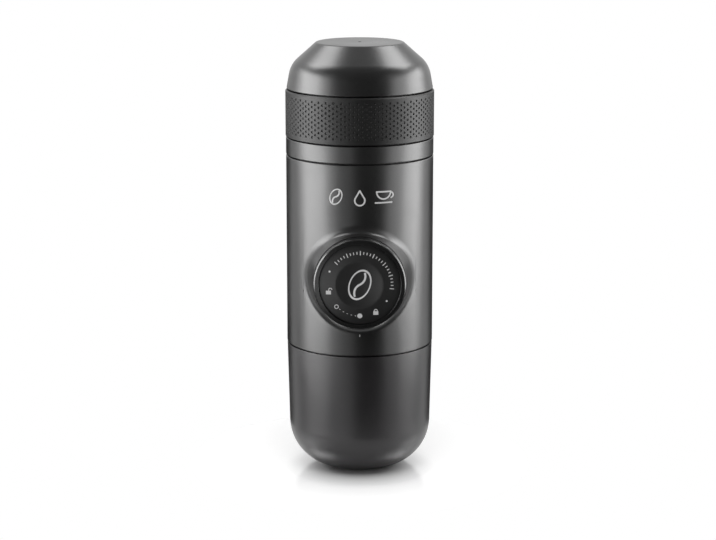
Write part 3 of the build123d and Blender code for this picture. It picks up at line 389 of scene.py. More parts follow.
def make_object(name, bm, material):
    """Turns a bmesh into an object of the scene, and frees the bmesh."""
    mesh = bpy.data.meshes.new(name)
    bm.to_mesh(mesh)
    bm.free()
    mesh.materials.append(material)
    made = bpy.data.objects.new(name, mesh)
    scene.collection.objects.link(made)
    return made


def make_piece(name, bm, material, body, replaced=None):
    """Turns a bmesh in millimetres into an object that rides on a body."""
    bmesh.ops.scale(bm, vec=(MM, MM, MM), verts=bm.verts)
    piece = make_object(name, bm, material)
    mesh = piece.data
    mesh.shade_smooth()
    mesh.set_sharp_from_angle(angle=SHARP_EDGE)
    shading = piece.modifiers.new("even_shading", "WEIGHTED_NORMAL")
    shading.keep_sharp = True
    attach(piece, body)
    if replaced:
        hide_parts(replaced)
    print(f"{name}: {len(mesh.vertices)} vertices, {len(mesh.polygons)} faces")
    return piece


# %% [markdown]
# ## The quick thread
#
# The tank and the grip collar screw on. Four short ribs share the load, each less than a quarter of a turn
# long, and each is a small trapezium that is swept along a helix. The spin operator climbs as it turns when
# it is given a dvec, which is how far each step rises.

# %% Ribs of the quick thread
THREAD_STARTS = 4
THREAD_LEAD = 16.0  # rise in one full turn
THREAD_DEGREES = 80  # of one rib
THREAD_RISE = THREAD_LEAD / 360 * THREAD_DEGREES
THREAD_STEPS = 20
RIB_ROOT = 1.0  # half widths
RIB_TIP = 0.5
RIB_DEPTH = 1.2
RIB_SINK = 0.3  # into the wall that it stands on


def add_thread(bm, wall, low):
    """Adds the ribs inside a socket of radius wall. low is the height of a rib's start."""
    root, tip = wall + RIB_SINK, wall - RIB_DEPTH
    for n in range(THREAD_STARTS):
        corners = ((root, low - RIB_ROOT), (tip, low - RIB_TIP), (tip, low + RIB_TIP), (root, low + RIB_ROOT))
        around = Matrix.Rotation(math.tau / THREAD_STARTS * n, 3, "Z")
        rib = [bm.verts.new(around @ Vector((radius, 0, height))) for radius, height in corners]
        face = bm.faces.new(rib)
        spin_about_z(bm, [face, *face.edges, *rib], math.radians(THREAD_DEGREES), THREAD_STEPS,
                     dvec=(0, 0, THREAD_RISE / THREAD_STEPS))


# %% [markdown]
# ## The water tank
#
# The tank is the lowest piece: a cup with a flat foot, one large round corner and a side that widens very
# slightly towards its rim. It could be a subdivided cylinder, but then the corner's radius would be a guess.
# Its section states the radius, and the turned mesh keeps it.

# %% The tank, with its socket and its seat for the seal
FOOT_RADIUS = 13.0
FOOT_ROUNDING = 2.0
CORNER_RADIUS = 19.0  # of the large round corner, outside
INNER_CORNER_RADIUS = 17.9
FOOT_RISE = 3.52  # height at which the lines beside the round corner would meet
TANK_TAPER = 1.15  # how much narrower the tank is there than at its rim
BELLY_RADIUS = TANK.radius - TANK_TAPER
TANK_WALL = 2.1
TANK_FLOOR = 2.4
INNER_FLOOR_RADIUS = 10.5
SOCKET_RADIUS = 26.5
SEAL_SEAT = (SOCKET_RADIUS + 1.6, TANK.high - 1.2)  # radius and height of the seat for the seal
SOCKET_LOW = 40.5
TANK_RIB = 44.15  # height of a rib's start
EDGE = 0.3  # rounding of an outside corner
SEAM_EDGE = 0.12  # rounding beside the lowest seam, which looks sharper
SEAM_GROOVE = (1.7, 0.45)  # depth and height of the groove that the lowest seam runs in

groove_radius = TANK.radius - SEAM_GROOVE[0]
groove_low = TANK.high - SEAM_GROOVE[1]
seat_radius, seat_height = SEAL_SEAT
tank = turned([
    (0, 0), (FOOT_RADIUS, 0, FOOT_ROUNDING), (BELLY_RADIUS, FOOT_RISE, CORNER_RADIUS),
    (TANK.radius, groove_low, SEAM_EDGE), (groove_radius, groove_low), (groove_radius, TANK.high),
    (seat_radius, TANK.high), (seat_radius, seat_height), (SOCKET_RADIUS, seat_height),
    (SOCKET_RADIUS, SOCKET_LOW), (BELLY_RADIUS - TANK_WALL, FOOT_RISE + TANK_FLOOR, INNER_CORNER_RADIUS),
    (INNER_FLOOR_RADIUS, TANK_FLOOR), (0, TANK_FLOOR),
])
add_thread(tank, SOCKET_RADIUS, TANK_RIB)
clean(tank)
tank_piece = make_piece("tank_shell", tank, tank_plastic, "tank", "water_tank")

# %% [markdown]
# ## The collar ring
#
# Above the housing sits a plain ring. Two narrow shadow gaps set it off, one below and one above, and what
# makes such a gap look real is that both of its edges are slightly rounded and catch a thin line of light.

# %% The collar ring
RING_WALL = 1.75
RING_FLANGE = 1.0
ring = turned([
    (SOCKET_RADIUS, RING.low), (RING.radius, RING.low, EDGE), (RING.radius, RING.high, EDGE),
    (RING.radius - RING_WALL, RING.high), (RING.radius - RING_WALL, RING.low + RING_FLANGE),
    (SOCKET_RADIUS, RING.low + RING_FLANGE),
])
make_piece("ring_shell", ring, shell_plastic, "main_body", "collar_ring")

# %% [markdown]
# ## The cup
#
# The cup stands upside down over the outlet and looks like a dome: a wall that leans in, a soft shoulder, a
# cone, and a flat top with a tiny dimple where the plastic entered the mould. Below the dome hides a skirt
# with an O-ring groove. Wall and skirt are one section, outside first and then back along the inside.

# %% The cup's section, outside and inside
CUP_EDGE = GRIP.high + 0.5  # the shadow gap above the grip
CUP_RIM = 29.5
SHOULDER = (27.85, CUP_EDGE + 9.3)  # radius and height
SHOULDER_ROUNDING = 10.4
TOP_RADIUS = 17.6
TOP_ROUNDING = 1.5
CUP_WALL = 1.8
SKIRT_RADIUS = 27.0
GATE_RADIUS = 0.7
GATE_DEPTH = 0.5
ORING_HEIGHT = CUP_EDGE - 6.0
ORING_GROOVE = (25.8, 0.8)  # radius of its floor, and half its width
SKIRT_BORE_TOP = CUP_EDGE + 1.5  # where the straight bore of the skirt ends
INNER_SHOULDER = (26.06, 164.93)
INNER_TOP_RADIUS = 17.0

groove_floor, groove_half = ORING_GROOVE
cup = turned([
    (0, CUP.high - GATE_DEPTH), (GATE_RADIUS, CUP.high - GATE_DEPTH), (GATE_RADIUS, CUP.high),
    (TOP_RADIUS, CUP.high, TOP_ROUNDING), (*SHOULDER, SHOULDER_ROUNDING), (CUP_RIM, CUP_EDGE, EDGE),
    (SKIRT_RADIUS, CUP_EDGE), (SKIRT_RADIUS, ORING_HEIGHT + groove_half),
    (groove_floor, ORING_HEIGHT + groove_half), (groove_floor, ORING_HEIGHT - groove_half),
    (SKIRT_RADIUS, ORING_HEIGHT - groove_half), (SKIRT_RADIUS, CUP.low, EDGE),
    (SKIRT_RADIUS - CUP_WALL, CUP.low, EDGE), (SKIRT_RADIUS - CUP_WALL, SKIRT_BORE_TOP),
    (*INNER_SHOULDER, SHOULDER_ROUNDING - CUP_WALL), (INNER_TOP_RADIUS, CUP.high - CUP_WALL, TOP_ROUNDING),
    (0, CUP.high - CUP_WALL),
])
make_piece("cup_shell", cup, cup_plastic, "cup", "espresso_cup")

# %% [markdown]
# ## The grip collar and its dimples
#
# The grip collar carries a field of small round dimples, so that wet hands can turn it. They are about a
# millimetre wide, and their lower rims catch the light, which a bump can't do at the outline. So each one is
# modelled. The trick is to model one flat tile with one dimple, line tiles up into two columns, bend the
# pair onto the cylinder, and let spin copy it around.
#
# The tile is a grid of four by four faces. Its eight inner vertices move onto a circle, and the four faces
# that they enclose are inset and pressed in twice, for a rounded rim and a floor.

# %% The pattern of the dimples
COLUMNS = 116
ROWS = 8
TILE_HEIGHT = 2.0
TILE_WIDTH = math.tau * GRIP.radius / COLUMNS
TILE_FACES = 4  # along each side of a tile
DIMPLE_RADIUS = 0.54
DIMPLE_STEPS = ((0.16, -0.17), (0.16, -0.15))  # inset and depth of its rim and of its floor
GRIP_LOW = 137.5  # where the grip begins above its skirt
FIELD_LOW = (GRIP_LOW + GRIP.high - ROWS * TILE_HEIGHT) / 2
print("tile:", round(TILE_WIDTH, 3), "x", TILE_HEIGHT, "mm")


# %% One tile, flat: x runs around, y runs up and z points out
def add_tile(bm, x, y, height, dimpled):
    """Adds a tile whose lower left corner is at (x, y). A dimpled tile is a whole one."""
    rows = TILE_FACES if height == TILE_HEIGHT else TILE_FACES // 2
    middle = Matrix.Translation((x + TILE_WIDTH / 2, y + height / 2, 0))
    stretch = Matrix.Diagonal((TILE_WIDTH / 2, height / 2, 1, 1))
    grid = bmesh.ops.create_grid(
        bm, x_segments=TILE_FACES, y_segments=rows, size=1, matrix=middle @ stretch
    )
    if not dimpled:
        return
    centre = middle.translation
    inner = [v for v in grid["verts"] if abs(v.co.x - centre.x) < TILE_WIDTH * 0.3
             and abs(v.co.y - centre.y) < height * 0.3]
    faces = [f for f in {f for v in inner for f in v.link_faces} if all(v in inner for v in f.verts)]
    for vertex in inner:
        offset = vertex.co - centre
        if offset.length > TILE_WIDTH * 0.1:
            quarter = math.pi / 4
            angle = round(math.atan2(offset.y / height, offset.x / TILE_WIDTH) / quarter) * quarter
            vertex.co = centre + Vector((math.cos(angle), math.sin(angle), 0)) * DIMPLE_RADIUS
    for inset, depth in DIMPLE_STEPS:
        bmesh.ops.inset_region(bm, faces=faces, thickness=inset, depth=depth)


# %% [markdown]
# The neighbouring column is shifted by half a tile, so it starts and ends with a plain half tile. Bending is
# a change of coordinates: the way along x becomes an angle, and z becomes a change of radius.

# %% Two columns, bent onto the cylinder and copied around
def bend(bm, radius):
    """Wraps a flat mesh onto a cylinder about Z: x becomes the way around it, y its height, z its depth."""
    for vertex in bm.verts:
        angle = vertex.co.x / radius
        out = radius + vertex.co.z
        vertex.co = (out * math.cos(angle), out * math.sin(angle), vertex.co.y)


grip = bmesh.new()
for row in range(ROWS):
    add_tile(grip, 0, FIELD_LOW + row * TILE_HEIGHT, TILE_HEIGHT, dimpled=True)
for row in range(ROWS - 1):
    add_tile(grip, TILE_WIDTH, FIELD_LOW + (row + 0.5) * TILE_HEIGHT, TILE_HEIGHT, dimpled=True)
for low in (FIELD_LOW, FIELD_LOW + (ROWS - 0.5) * TILE_HEIGHT):
    add_tile(grip, TILE_WIDTH, low, TILE_HEIGHT / 2, dimpled=False)
bend(grip, GRIP.radius)
pairs = COLUMNS // 2
spin_about_z(grip, grip.faces[:] + grip.edges[:] + grip.verts[:], math.tau * (pairs - 1) / pairs, pairs - 1,
             use_duplicate=True)
print("dimples:", pairs * (2 * ROWS - 1))

# %% [markdown]
# The rest of the collar is an open section that starts where the field ends at the top and comes back to it
# at the bottom. It is turned with as many steps as the field has vertices around, so its ends meet the field
# vertex on vertex and merge with it.

# %% The collar around the field
GRIP_BEVEL = 0.5
GRIP_LOW_BEVEL = 0.15
GRIP_LIP = (143.7, 145.5, 20.7)  # its two heights and its bore
CUP_SOCKET = 27.4
GRIP_SKIRT = 27.8
GRIP_RIB = 132.594  # height of a rib's start


def add_mesh(bm, other):
    """Adds everything in another bmesh to bm, and frees the other."""
    passing = bpy.data.meshes.new("passing")
    other.to_mesh(passing)
    other.free()
    bm.from_mesh(passing)
    bpy.data.meshes.remove(passing)


lip_low, lip_high, lip_bore = GRIP_LIP
outline = bmesh.new()
draw_section(outline, [
    (GRIP.radius, FIELD_LOW + ROWS * TILE_HEIGHT), (GRIP.radius, GRIP.high - GRIP_BEVEL),
    (GRIP.radius - GRIP_BEVEL, GRIP.high), (CUP_SOCKET, GRIP.high), (CUP_SOCKET, lip_high),
    (lip_bore, lip_high), (lip_bore, lip_low), (SOCKET_RADIUS, lip_low), (SOCKET_RADIUS, GRIP.low),
    (GRIP_SKIRT, GRIP.low), (GRIP_SKIRT, GRIP_LOW), (GRIP.radius - GRIP_LOW_BEVEL, GRIP_LOW),
    (GRIP.radius, GRIP_LOW + GRIP_LOW_BEVEL), (GRIP.radius, FIELD_LOW),
], closed=False)
turn_fully(outline, COLUMNS * TILE_FACES)
add_mesh(grip, outline)
clean(grip, closest=0.01)
add_thread(grip, SOCKET_RADIUS, GRIP_RIB)
bmesh.ops.recalc_face_normals(grip, faces=grip.faces)
make_piece("grip_shell", grip, grip_plastic, "grip", "grip_collar")

# %% [markdown]
# ## The housing and its boss
#
# The housing is a tube with a round boss at the front, and the boss flows into the tube with a soft blend.
# A Boolean would leave long thin faces there, which shade badly. So the wall is laid out flat first: a grid
# with a square window, from which two rings of faces lead to a circle. Everything is flat until the last
# moment, and bending it puts every vertex exactly on the cylinder.
#
# Most of these steps extrude a loop of edges: the operator makes new edges, and a rule says where their
# vertices go. The next cell has that step, and a search for the open loops of a mesh.

# %% Extrude a loop, and find the open loops
def extrude_loop(bm, edges, move):
    """Extrudes a loop of edges, puts the new vertices where move says, and returns the new edges."""
    made = bmesh.ops.extrude_edge_only(bm, edges=edges)["geom"]
    for item in made:
        if isinstance(item, bmesh.types.BMVert):
            item.co = move(item.co)
    return [item for item in made if isinstance(item, bmesh.types.BMEdge) and item.is_boundary]


def open_loops(bm):
    """The closed chains of edges that have a face on one side only."""
    left = {edge for edge in bm.edges if edge.is_boundary}
    loops = []
    while left:
        loop, front = [], [next(iter(left))]
        while front:
            edge = front.pop()
            if edge in left:
                left.discard(edge)
                loop.append(edge)
                front += [other for vertex in edge.verts for other in vertex.link_edges if other in left]
        loops.append(loop)
    return loops


def loop_where(bm, test):
    """The open loop of which every vertex passes a test."""
    return next(loop for loop in open_loops(bm) if all(test(v.co) for edge in loop for v in edge.verts))


# %% A flat wall with a round hole, bent around the axis
WALL_COLUMNS = 96
WALL_ROW = 2.0
WINDOW = 26.0  # half its width
COLLAR = 2.6  # width of the plain ring around the hole, in which the blend fits
FILL_CUTS = 4


def wall_with_hole(radius, low, high, hole):
    """A cylinder wall about Z with a round hole at the knob. hole(angle) is the hole's radius there."""

    def onto_ring(widen):
        def move(co):
            angle = math.atan2(co.y - KNOB_Z, co.x)
            reach = hole(angle) + widen
            across = radius * math.asin(reach * math.cos(angle) / radius)
            return Vector((across, KNOB_Z + reach * math.sin(angle), 0))
        return move

    bm = bmesh.new()
    half = math.pi * radius
    size = Matrix.Diagonal((half, (high - low) / 2, 1, 1))
    middle = Matrix.Translation((0, (low + high) / 2, 0))
    rows = round((high - low) / WALL_ROW)
    bmesh.ops.create_grid(bm, x_segments=WALL_COLUMNS, y_segments=rows, size=1, matrix=middle @ size)
    centres = {face: face.calc_center_median() for face in bm.faces}
    cut = [face for face, at in centres.items() if max(abs(at.x), abs(at.y - KNOB_Z)) < WINDOW]
    bmesh.ops.delete(bm, geom=cut, context="FACES")
    near = WINDOW + WALL_ROW
    window = loop_where(bm, lambda co: max(abs(co.x), abs(co.y - KNOB_Z)) < near)
    before = set(bm.edges)
    ring = extrude_loop(bm, window, onto_ring(COLLAR))
    across = [edge for edge in bm.edges if edge not in before and edge not in ring]
    bmesh.ops.subdivide_edges(bm, edges=across, cuts=FILL_CUTS, use_grid_fill=True)
    extrude_loop(bm, ring, onto_ring(0))
    for vertex in bm.verts:
        vertex.co.x -= half / 2  # turns the hole to the front, which is -Y
    bend(bm, radius)
    bmesh.ops.remove_doubles(bm, verts=bm.verts, dist=0.001)
    return bm


# %% [markdown]
# The boss widens a little towards the body, so where it meets the body depends on how far back the body's
# surface lies at that point. A few rounds of correction find the radius of its foot. Its rim has no flat
# face: it slopes in to a narrow lip around the knob, which keeps the gap there thin, and the wider bore lies
# behind the lip.

# %% The boss's foot and bore
BOSS_FRONT = -HOUSING.front
BOSS_BORE = KNOB.radius + 0.4
BOSS_RIM = BOSS_BORE + 1.0
BOSS_FLARE = 0.11
BOSS_SHOULDER = (18.85, 1.57)  # radius, and depth behind the front, where the rim's slope ends
BOSS_LIP = (KNOB.radius + 0.15, 1.2)  # radius and depth
FOOT_BLEND = (2.2, 8)  # size and steps of the rounding where the boss meets the body
SHOULDER_BLEND = (0.5, 4)
LIP_BLEND = (0.06, 2)
SEAM_STEPS = 3
HOUSING_WALL = 1.85
LIP_RECESS = (29.0, 1.5)  # radius and height of the room for the bulkhead's lip


def boss_foot(angle):
    """Radius of the boss where it meets the body, at an angle about the knob's axis."""
    radius = BOSS_RIM
    for _ in range(6):
        surface = math.sqrt(HOUSING.radius**2 - (radius * math.cos(angle)) ** 2)
        radius = BOSS_RIM + BOSS_FLARE * (BOSS_FRONT - surface)
    return radius


def boss_bore(angle):
    return BOSS_BORE


def about_knob(radius, depth):
    """A move that puts a vertex at a radius about the knob's axis, and at a depth along it."""
    def move(co):
        away = Vector((co.x, 0, co.z - KNOB_Z)).normalized() * radius
        return Vector((away.x, -depth, KNOB_Z + away.z))
    return move


def about_body(radius, height):
    """A move that puts a vertex at a radius about the body's axis, and at a height."""
    def move(co):
        away = Vector((co.x, co.y, 0)).normalized() * radius
        return Vector((away.x, away.y, height))
    return move


def round_off(bm, edges, size, steps):
    """Rounds edges with the bevel operator."""
    bmesh.ops.bevel(
        bm, geom=edges, offset=size, offset_type="OFFSET", segments=steps, profile=0.5, affect="EDGES",
        material=-1,
    )


print("boss foot:", round(boss_foot(0), 2), "mm at its side,", round(boss_foot(math.pi / 2), 2), "at its top")

# %% The outer skin: wall, blend, boss, rim and lip
housing = wall_with_hole(HOUSING.radius, HOUSING.low, HOUSING.high, boss_foot)
foot = loop_where(housing, lambda co: HOUSING.low + 1 < co.z < HOUSING.high - 1)
lip_radius, lip_depth = BOSS_LIP
shoulder_radius, shoulder_back = BOSS_SHOULDER
shoulder = extrude_loop(housing, foot, about_knob(shoulder_radius, BOSS_FRONT - shoulder_back))
lip = extrude_loop(housing, shoulder, about_knob(lip_radius, BOSS_FRONT))
lip_back = extrude_loop(housing, lip, about_knob(lip_radius, BOSS_FRONT - lip_depth))
extrude_loop(housing, lip_back, about_knob(BOSS_BORE, BOSS_FRONT - lip_depth))
for edges, (size, steps) in ((foot, FOOT_BLEND), (shoulder, SHOULDER_BLEND), (lip, LIP_BLEND)):
    round_off(housing, edges, size, steps)
print("outer skin:", len(housing.faces), "faces")

# %% [markdown]
# The inner skin is the same kind of wall with a smaller radius. Its foot steps out, because the bulkhead
# below reaches up into it with a lip. Each open loop of the outer skin then gets bridged to its partner:
# the top, the foot, and the bore of the boss.

# %% The inner skin, joined to the outer one
recess_radius, recess_height = LIP_RECESS
recess_top = HOUSING.low + recess_height
inner = wall_with_hole(HOUSING.radius - HOUSING_WALL, recess_top, HOUSING.high, boss_bore)
inner_foot = loop_where(inner, lambda co: co.z < recess_top + 0.1)
step = extrude_loop(inner, inner_foot, about_body(recess_radius, recess_top))
extrude_loop(inner, step, about_body(recess_radius, HOUSING.low))
add_mesh(housing, inner)

loops = open_loops(housing)
heights = {n: [v.co.z for edge in loop for v in edge.verts] for n, loop in enumerate(loops)}
tops = [loops[n] for n, z in heights.items() if min(z) > HOUSING.high - 0.1]
feet = [loops[n] for n, z in heights.items() if max(z) < HOUSING.low + 0.1]
bores = [loop for loop in loops if loop not in tops and loop not in feet]
for name, pair in (("top", tops), ("foot", feet), ("bore", bores)):
    bmesh.ops.bridge_loops(housing, edges=pair[0] + pair[1])
    print(name, "loops:", [len(loop) for loop in pair])
for end, size in ((HOUSING.low, SEAM_EDGE), (HOUSING.high, EDGE)):
    round_off(housing, [
        edge for edge in housing.edges
        if all(abs(v.co.xy.length - HOUSING.radius) < 0.01 and abs(v.co.z - end) < 0.01 for v in edge.verts)
    ], size, SEAM_STEPS)
clean(housing)
make_piece("housing_shell", housing, shell_plastic, "main_body", "main_housing")

# %% [markdown]
# ## The knob
#
# The pump knob is a cap with a narrow bevelled rim, and a separate dished plate lies inside the rim. Both
# are turned like the other pieces, upright, and then laid over so that their axis points forward.

# %% Lay a turned piece over onto the knob's axis
def onto_knob_axis(bm):
    """Turns a bmesh from the Z axis onto the knob's axis: its height becomes its depth towards the front."""
    bmesh.ops.rotate(bm, cent=(0, 0, 0), matrix=Matrix.Rotation(math.radians(90), 3, "X"), verts=bm.verts)
    bmesh.ops.translate(bm, vec=(0, 0, KNOB_Z), verts=bm.verts)
    return bm


KNOB_FRONT = -KNOB.front
KNOB_REAR = 15.5
KNOB_WALL = 1.9
KNOB_FALL = (1.9, 0.3)  # width and depth of the gentle fall of the rim
KNOB_SLOPE = (0.45, 0.5)  # and of the steep slope at its edge
KNOB_FLOOR = KNOB_FRONT - 1.6
KNOB_INNER = KNOB_FLOOR - 2.4
HUB_RADIUS = 6.4
HUB_BORE = 4.05
HUB_REAR = KNOB_INNER - 5.0
HUB_FLOOR = KNOB_INNER - 1.95  # of the bore that takes the piston's rod
RIM_EDGE = 0.12  # roundings of the rim
SLOPE_EDGE = 0.15
KNOB_STEPS = 160  # faces around the knob
recess = FACE.radius + 0.1
fall_width, fall_depth = KNOB_FALL
slope_width, slope_depth = KNOB_SLOPE

cap = turned([
    (0, KNOB_FLOOR), (recess, KNOB_FLOOR), (recess, KNOB_FRONT, RIM_EDGE),
    (KNOB.radius - fall_width, KNOB_FRONT),
    (KNOB.radius - slope_width, KNOB_FRONT - fall_depth, SLOPE_EDGE),
    (KNOB.radius, KNOB_FRONT - fall_depth - slope_depth, RIM_EDGE),
    (KNOB.radius, KNOB_REAR, EDGE), (KNOB.radius - KNOB_WALL, KNOB_REAR, EDGE),
    (KNOB.radius - KNOB_WALL, KNOB_INNER), (HUB_RADIUS, KNOB_INNER), (HUB_RADIUS, HUB_REAR),
    (HUB_BORE, HUB_REAR), (HUB_BORE, HUB_FLOOR), (0, HUB_FLOOR),
], steps=KNOB_STEPS)
make_piece("knob_shell", onto_knob_axis(cap), knob_plastic, "knob", "knob_cap")

# %% [markdown]
# The dish in the plate is a shallow bowl for a thumb, and the ring around it falls away a little towards
# its edge, so that the two meet in a soft ridge. The section of the dish is an arc, which spin draws again:
# the first vertex is the middle of the dish, and it is spun about the centre of the ball that the dish is
# cut from.

# %% The face plate with its dish
FACE_FRONT = -FACE.front
FACE_THICKNESS = 1.35
DISH_RADIUS = 9.3
DISH_DEPTH = 0.7
DISH_STEPS = 14
RIDGE = (0.5, 0.02)  # width and fall of the ridge around the dish
FACE_FALL = 0.8  # from the ridge to the plate's edge
DISH_BALL = (DISH_RADIUS**2 + DISH_DEPTH**2) / (2 * DISH_DEPTH)

plate = bmesh.new()
dish_floor = plate.verts.new((0, 0, FACE_FRONT - DISH_DEPTH))
dish_angle = math.asin(DISH_RADIUS / DISH_BALL)
ball_centre = (0, 0, FACE_FRONT - DISH_DEPTH + DISH_BALL)
spun = bmesh.ops.spin(
    plate, geom=[dish_floor], cent=ball_centre, axis=(0, -1, 0), angle=dish_angle, steps=DISH_STEPS
)
dish_edge = spun["geom_last"][0]
back = [plate.verts.new((radius, 0, height)) for radius, height in (
    (DISH_RADIUS + RIDGE[0], FACE_FRONT - RIDGE[1]), (FACE.radius - EDGE, FACE_FRONT - FACE_FALL),
    (FACE.radius, FACE_FRONT - FACE_FALL - EDGE),
    (FACE.radius, FACE_FRONT - FACE_THICKNESS), (0, FACE_FRONT - FACE_THICKNESS))]
for start, end in zip([dish_edge] + back, back):
    plate.edges.new((start, end))
turn_fully(plate, KNOB_STEPS)
clean(plate)
print("dish:", 2 * DISH_RADIUS, "mm across, edge at", round(dish_edge.co.z, 3))
make_piece("knob_plate", onto_knob_axis(plate), face_plastic, "knob", "knob_face")

# %% [markdown]
# ## Printed marks
#
# The marks on the knob's face are pad-printed: a very thin, slightly matt layer of pale ink. A thin mesh on
# the surface is the plainest way to make print that has an exact place and keeps its edge from near by.
# A mark is drawn flat, as seen from the front, and then laid onto the surface under it.
#
# Every stroke is one of three things: a round dot, an arc of even width, or a straight bar. A bar is an arc
# of no curvature, so it starts from a grid, while dots and arcs start from a circle or a spun edge.

# %% Strokes of print, drawn flat
def add_dot(bm, x, y, radius, segments=24):
    """A full round dot."""
    bmesh.ops.create_circle(
        bm, cap_ends=True, segments=segments, radius=radius, matrix=Matrix.Translation((x, y, 0))
    )


def add_arc(bm, x, y, radius, width, start=0.0, end=360.0, steps=24, squash=1.0, lean=0.0):
    """An arc of even width about (x, y), from start to end degrees. squash narrows it, lean turns it."""
    edge = [bm.verts.new((radius + side * width / 2, 0, 0)) for side in (-1, 1)]
    line = bm.edges.new(edge)
    closed = end - start >= 360
    bmesh.ops.rotate(bm, cent=(0, 0, 0), matrix=Matrix.Rotation(math.radians(start), 3, "Z"), verts=edge)
    before = set(bm.verts) - set(edge)
    spin_about_z(bm, edge + [line], math.radians(end - start), steps, use_merge=closed)
    made = [v for v in bm.verts if v not in before]
    bmesh.ops.scale(bm, vec=(squash, 1, 1), verts=made)
    bmesh.ops.rotate(bm, cent=(0, 0, 0), matrix=Matrix.Rotation(math.radians(lean), 3, "Z"), verts=made)
    bmesh.ops.translate(bm, vec=(x, y, 0), verts=made)


def add_bar(bm, x, y, length, width, angle=0.0):
    """A straight bar centred on (x, y), along the direction angle in degrees."""
    matrix = Matrix.Translation((x, y, 0)) @ Matrix.Rotation(math.radians(angle), 4, "Z")
    size = Matrix.Diagonal((length / 2, width / 2, 1, 1))
    bmesh.ops.create_grid(bm, x_segments=4, y_segments=1, size=1, matrix=matrix @ size)


# %% [markdown]
# The scale around the face says how far the knob is turned. The full dot at the bottom is where the knob is
# locked, the open ring is where it comes free, and small dashes lead from one to the other. Two padlocks,
# one shut and one open, say the same without words, and a coffee bean fills the dish.

# %% Pictograms
def add_padlock(bm, x, y, shackle_shift):
    """A padlock 2.6 mm high. The shackle of an open one is shifted sideways and up."""
    add_bar(bm, x, y - 0.45, 2.0, 1.5)
    add_arc(bm, x + shackle_shift, y + 0.45 + abs(shackle_shift) / 3, 0.62, 0.32, 0, 180, steps=12)
    for side in (-1, 1):
        if side * shackle_shift <= 0:
            add_bar(bm, x + shackle_shift + side * 0.62, y + 0.35 + abs(shackle_shift) / 6, 0.5, 0.32, 90)


def add_bean(bm, x, y, height, width, stroke, lean):
    """A coffee bean: an oval line, and along its middle a crease of two arcs that form a long S."""
    add_arc(bm, x, y, height / 2, stroke, steps=48, squash=width / height, lean=lean)
    chord = height * 0.43
    bulge = width * 0.13
    radius = chord**2 / (8 * bulge) + bulge / 2
    half = math.degrees(math.asin(chord / 2 / radius))
    for side in (-1, 1):
        centre = Vector((side * (radius - bulge), -side * chord / 2, 0))
        centre.rotate(Matrix.Rotation(math.radians(lean), 3, "Z"))
        middle = lean + (180 if side > 0 else 0)
        add_arc(bm, x + centre.x, y + centre.y, radius, stroke, middle - half, middle + half, steps=14)


# %% All the marks of the face
MARK_RADIUS = 12.6
LOCKED_ANGLE = 270.0
FREE_ANGLE = 223.8
DASHES = 5
DASH = (0.45, 0.24)  # length and width
LOCKED_DOT = (12.5, 1.0)  # distance from the middle, and radius
FREE_RING = (12.7, 0.75, 0.3)  # distance from the middle, radius and stroke
SMALL_DOTS = ((155.7, 13.0), (-31.6, 12.4))  # angle, and distance from the middle
SMALL_DOT_RADIUS = 0.4
TICKS_FROM, TICKS_TO, TICK_STEP = -7.0, 137.0, 6.0
TICK_RADIUS = 12.7
TICK_LONG, TICK_SHORT, TICK_WIDTH = 1.7, 1.0, 0.32
PADLOCKS = ((300, 0.0), (192, 0.75))  # angle, and shift of the shackle
FACE_BEAN = (12.0, 8.0, 0.8, -22.0)  # height, width, stroke and lean


def on_ring(angle, radius=MARK_RADIUS):
    """A place on the ring of marks, as (x, y)."""
    return radius * math.cos(math.radians(angle)), radius * math.sin(math.radians(angle))


marks = bmesh.new()
add_dot(marks, *on_ring(LOCKED_ANGLE, LOCKED_DOT[0]), LOCKED_DOT[1])
add_arc(marks, *on_ring(FREE_ANGLE, FREE_RING[0]), *FREE_RING[1:])
for n in range(1, DASHES + 1):
    angle = FREE_ANGLE + (LOCKED_ANGLE - FREE_ANGLE) * n / (DASHES + 1)
    add_bar(marks, *on_ring(angle), *DASH, angle + 90)
for angle, radius in SMALL_DOTS:
    add_dot(marks, *on_ring(angle, radius), SMALL_DOT_RADIUS, segments=16)
ticks = round((TICKS_TO - TICKS_FROM) / TICK_STEP)
for n in range(ticks + 1):
    angle = TICKS_FROM + TICK_STEP * n
    add_bar(marks, *on_ring(angle, TICK_RADIUS), TICK_LONG if n % 4 == 0 else TICK_SHORT, TICK_WIDTH, angle)
for angle, shift in PADLOCKS:
    add_padlock(marks, *on_ring(angle), shift)
add_bean(marks, 0, 0, *FACE_BEAN)
print("ticks:", ticks + 1)

# %% [markdown]
# Laying the print down is one more change of coordinates: the height of the surface under each vertex is
# known from the dish's ball and the fall of the ring, and the ink lies less than a tenth of a millimetre
# above it, so that its long strokes don't sink into the curve. Solidify then gives the ink its thickness.

# %% Lay the marks onto the face
INK = 0.03


def face_height(radius):
    """Height of the plate's front at a radius, along the knob's axis."""
    if radius >= DISH_RADIUS:
        return FACE_FRONT - FACE_FALL * (radius - DISH_RADIUS) / (FACE.radius - EDGE - DISH_RADIUS)
    return FACE_FRONT - DISH_DEPTH + DISH_BALL - math.sqrt(DISH_BALL**2 - radius**2)


def thicken(bm):
    """Makes thin solids of flat strokes that already lie on their surface."""
    bmesh.ops.recalc_face_normals(bm, faces=bm.faces)
    bmesh.ops.solidify(bm, geom=bm.faces[:], thickness=INK)
    return bm


bmesh.ops.recalc_face_normals(marks, faces=marks.faces)
for vertex in marks.verts:
    vertex.co.z = face_height(vertex.co.xy.length) + 2 * INK
marks = onto_knob_axis(thicken(marks))
make_piece("knob_marks", marks, print_ink, "knob")

# %% [markdown]
# The body carries a short printed line above the knob. Three pictograms say what it does: a bean, a drop and
# a cup. They are drawn flat in the same way and wrapped around the housing. A small index mark below the
# knob shows which way is front when the tank is screwed on.

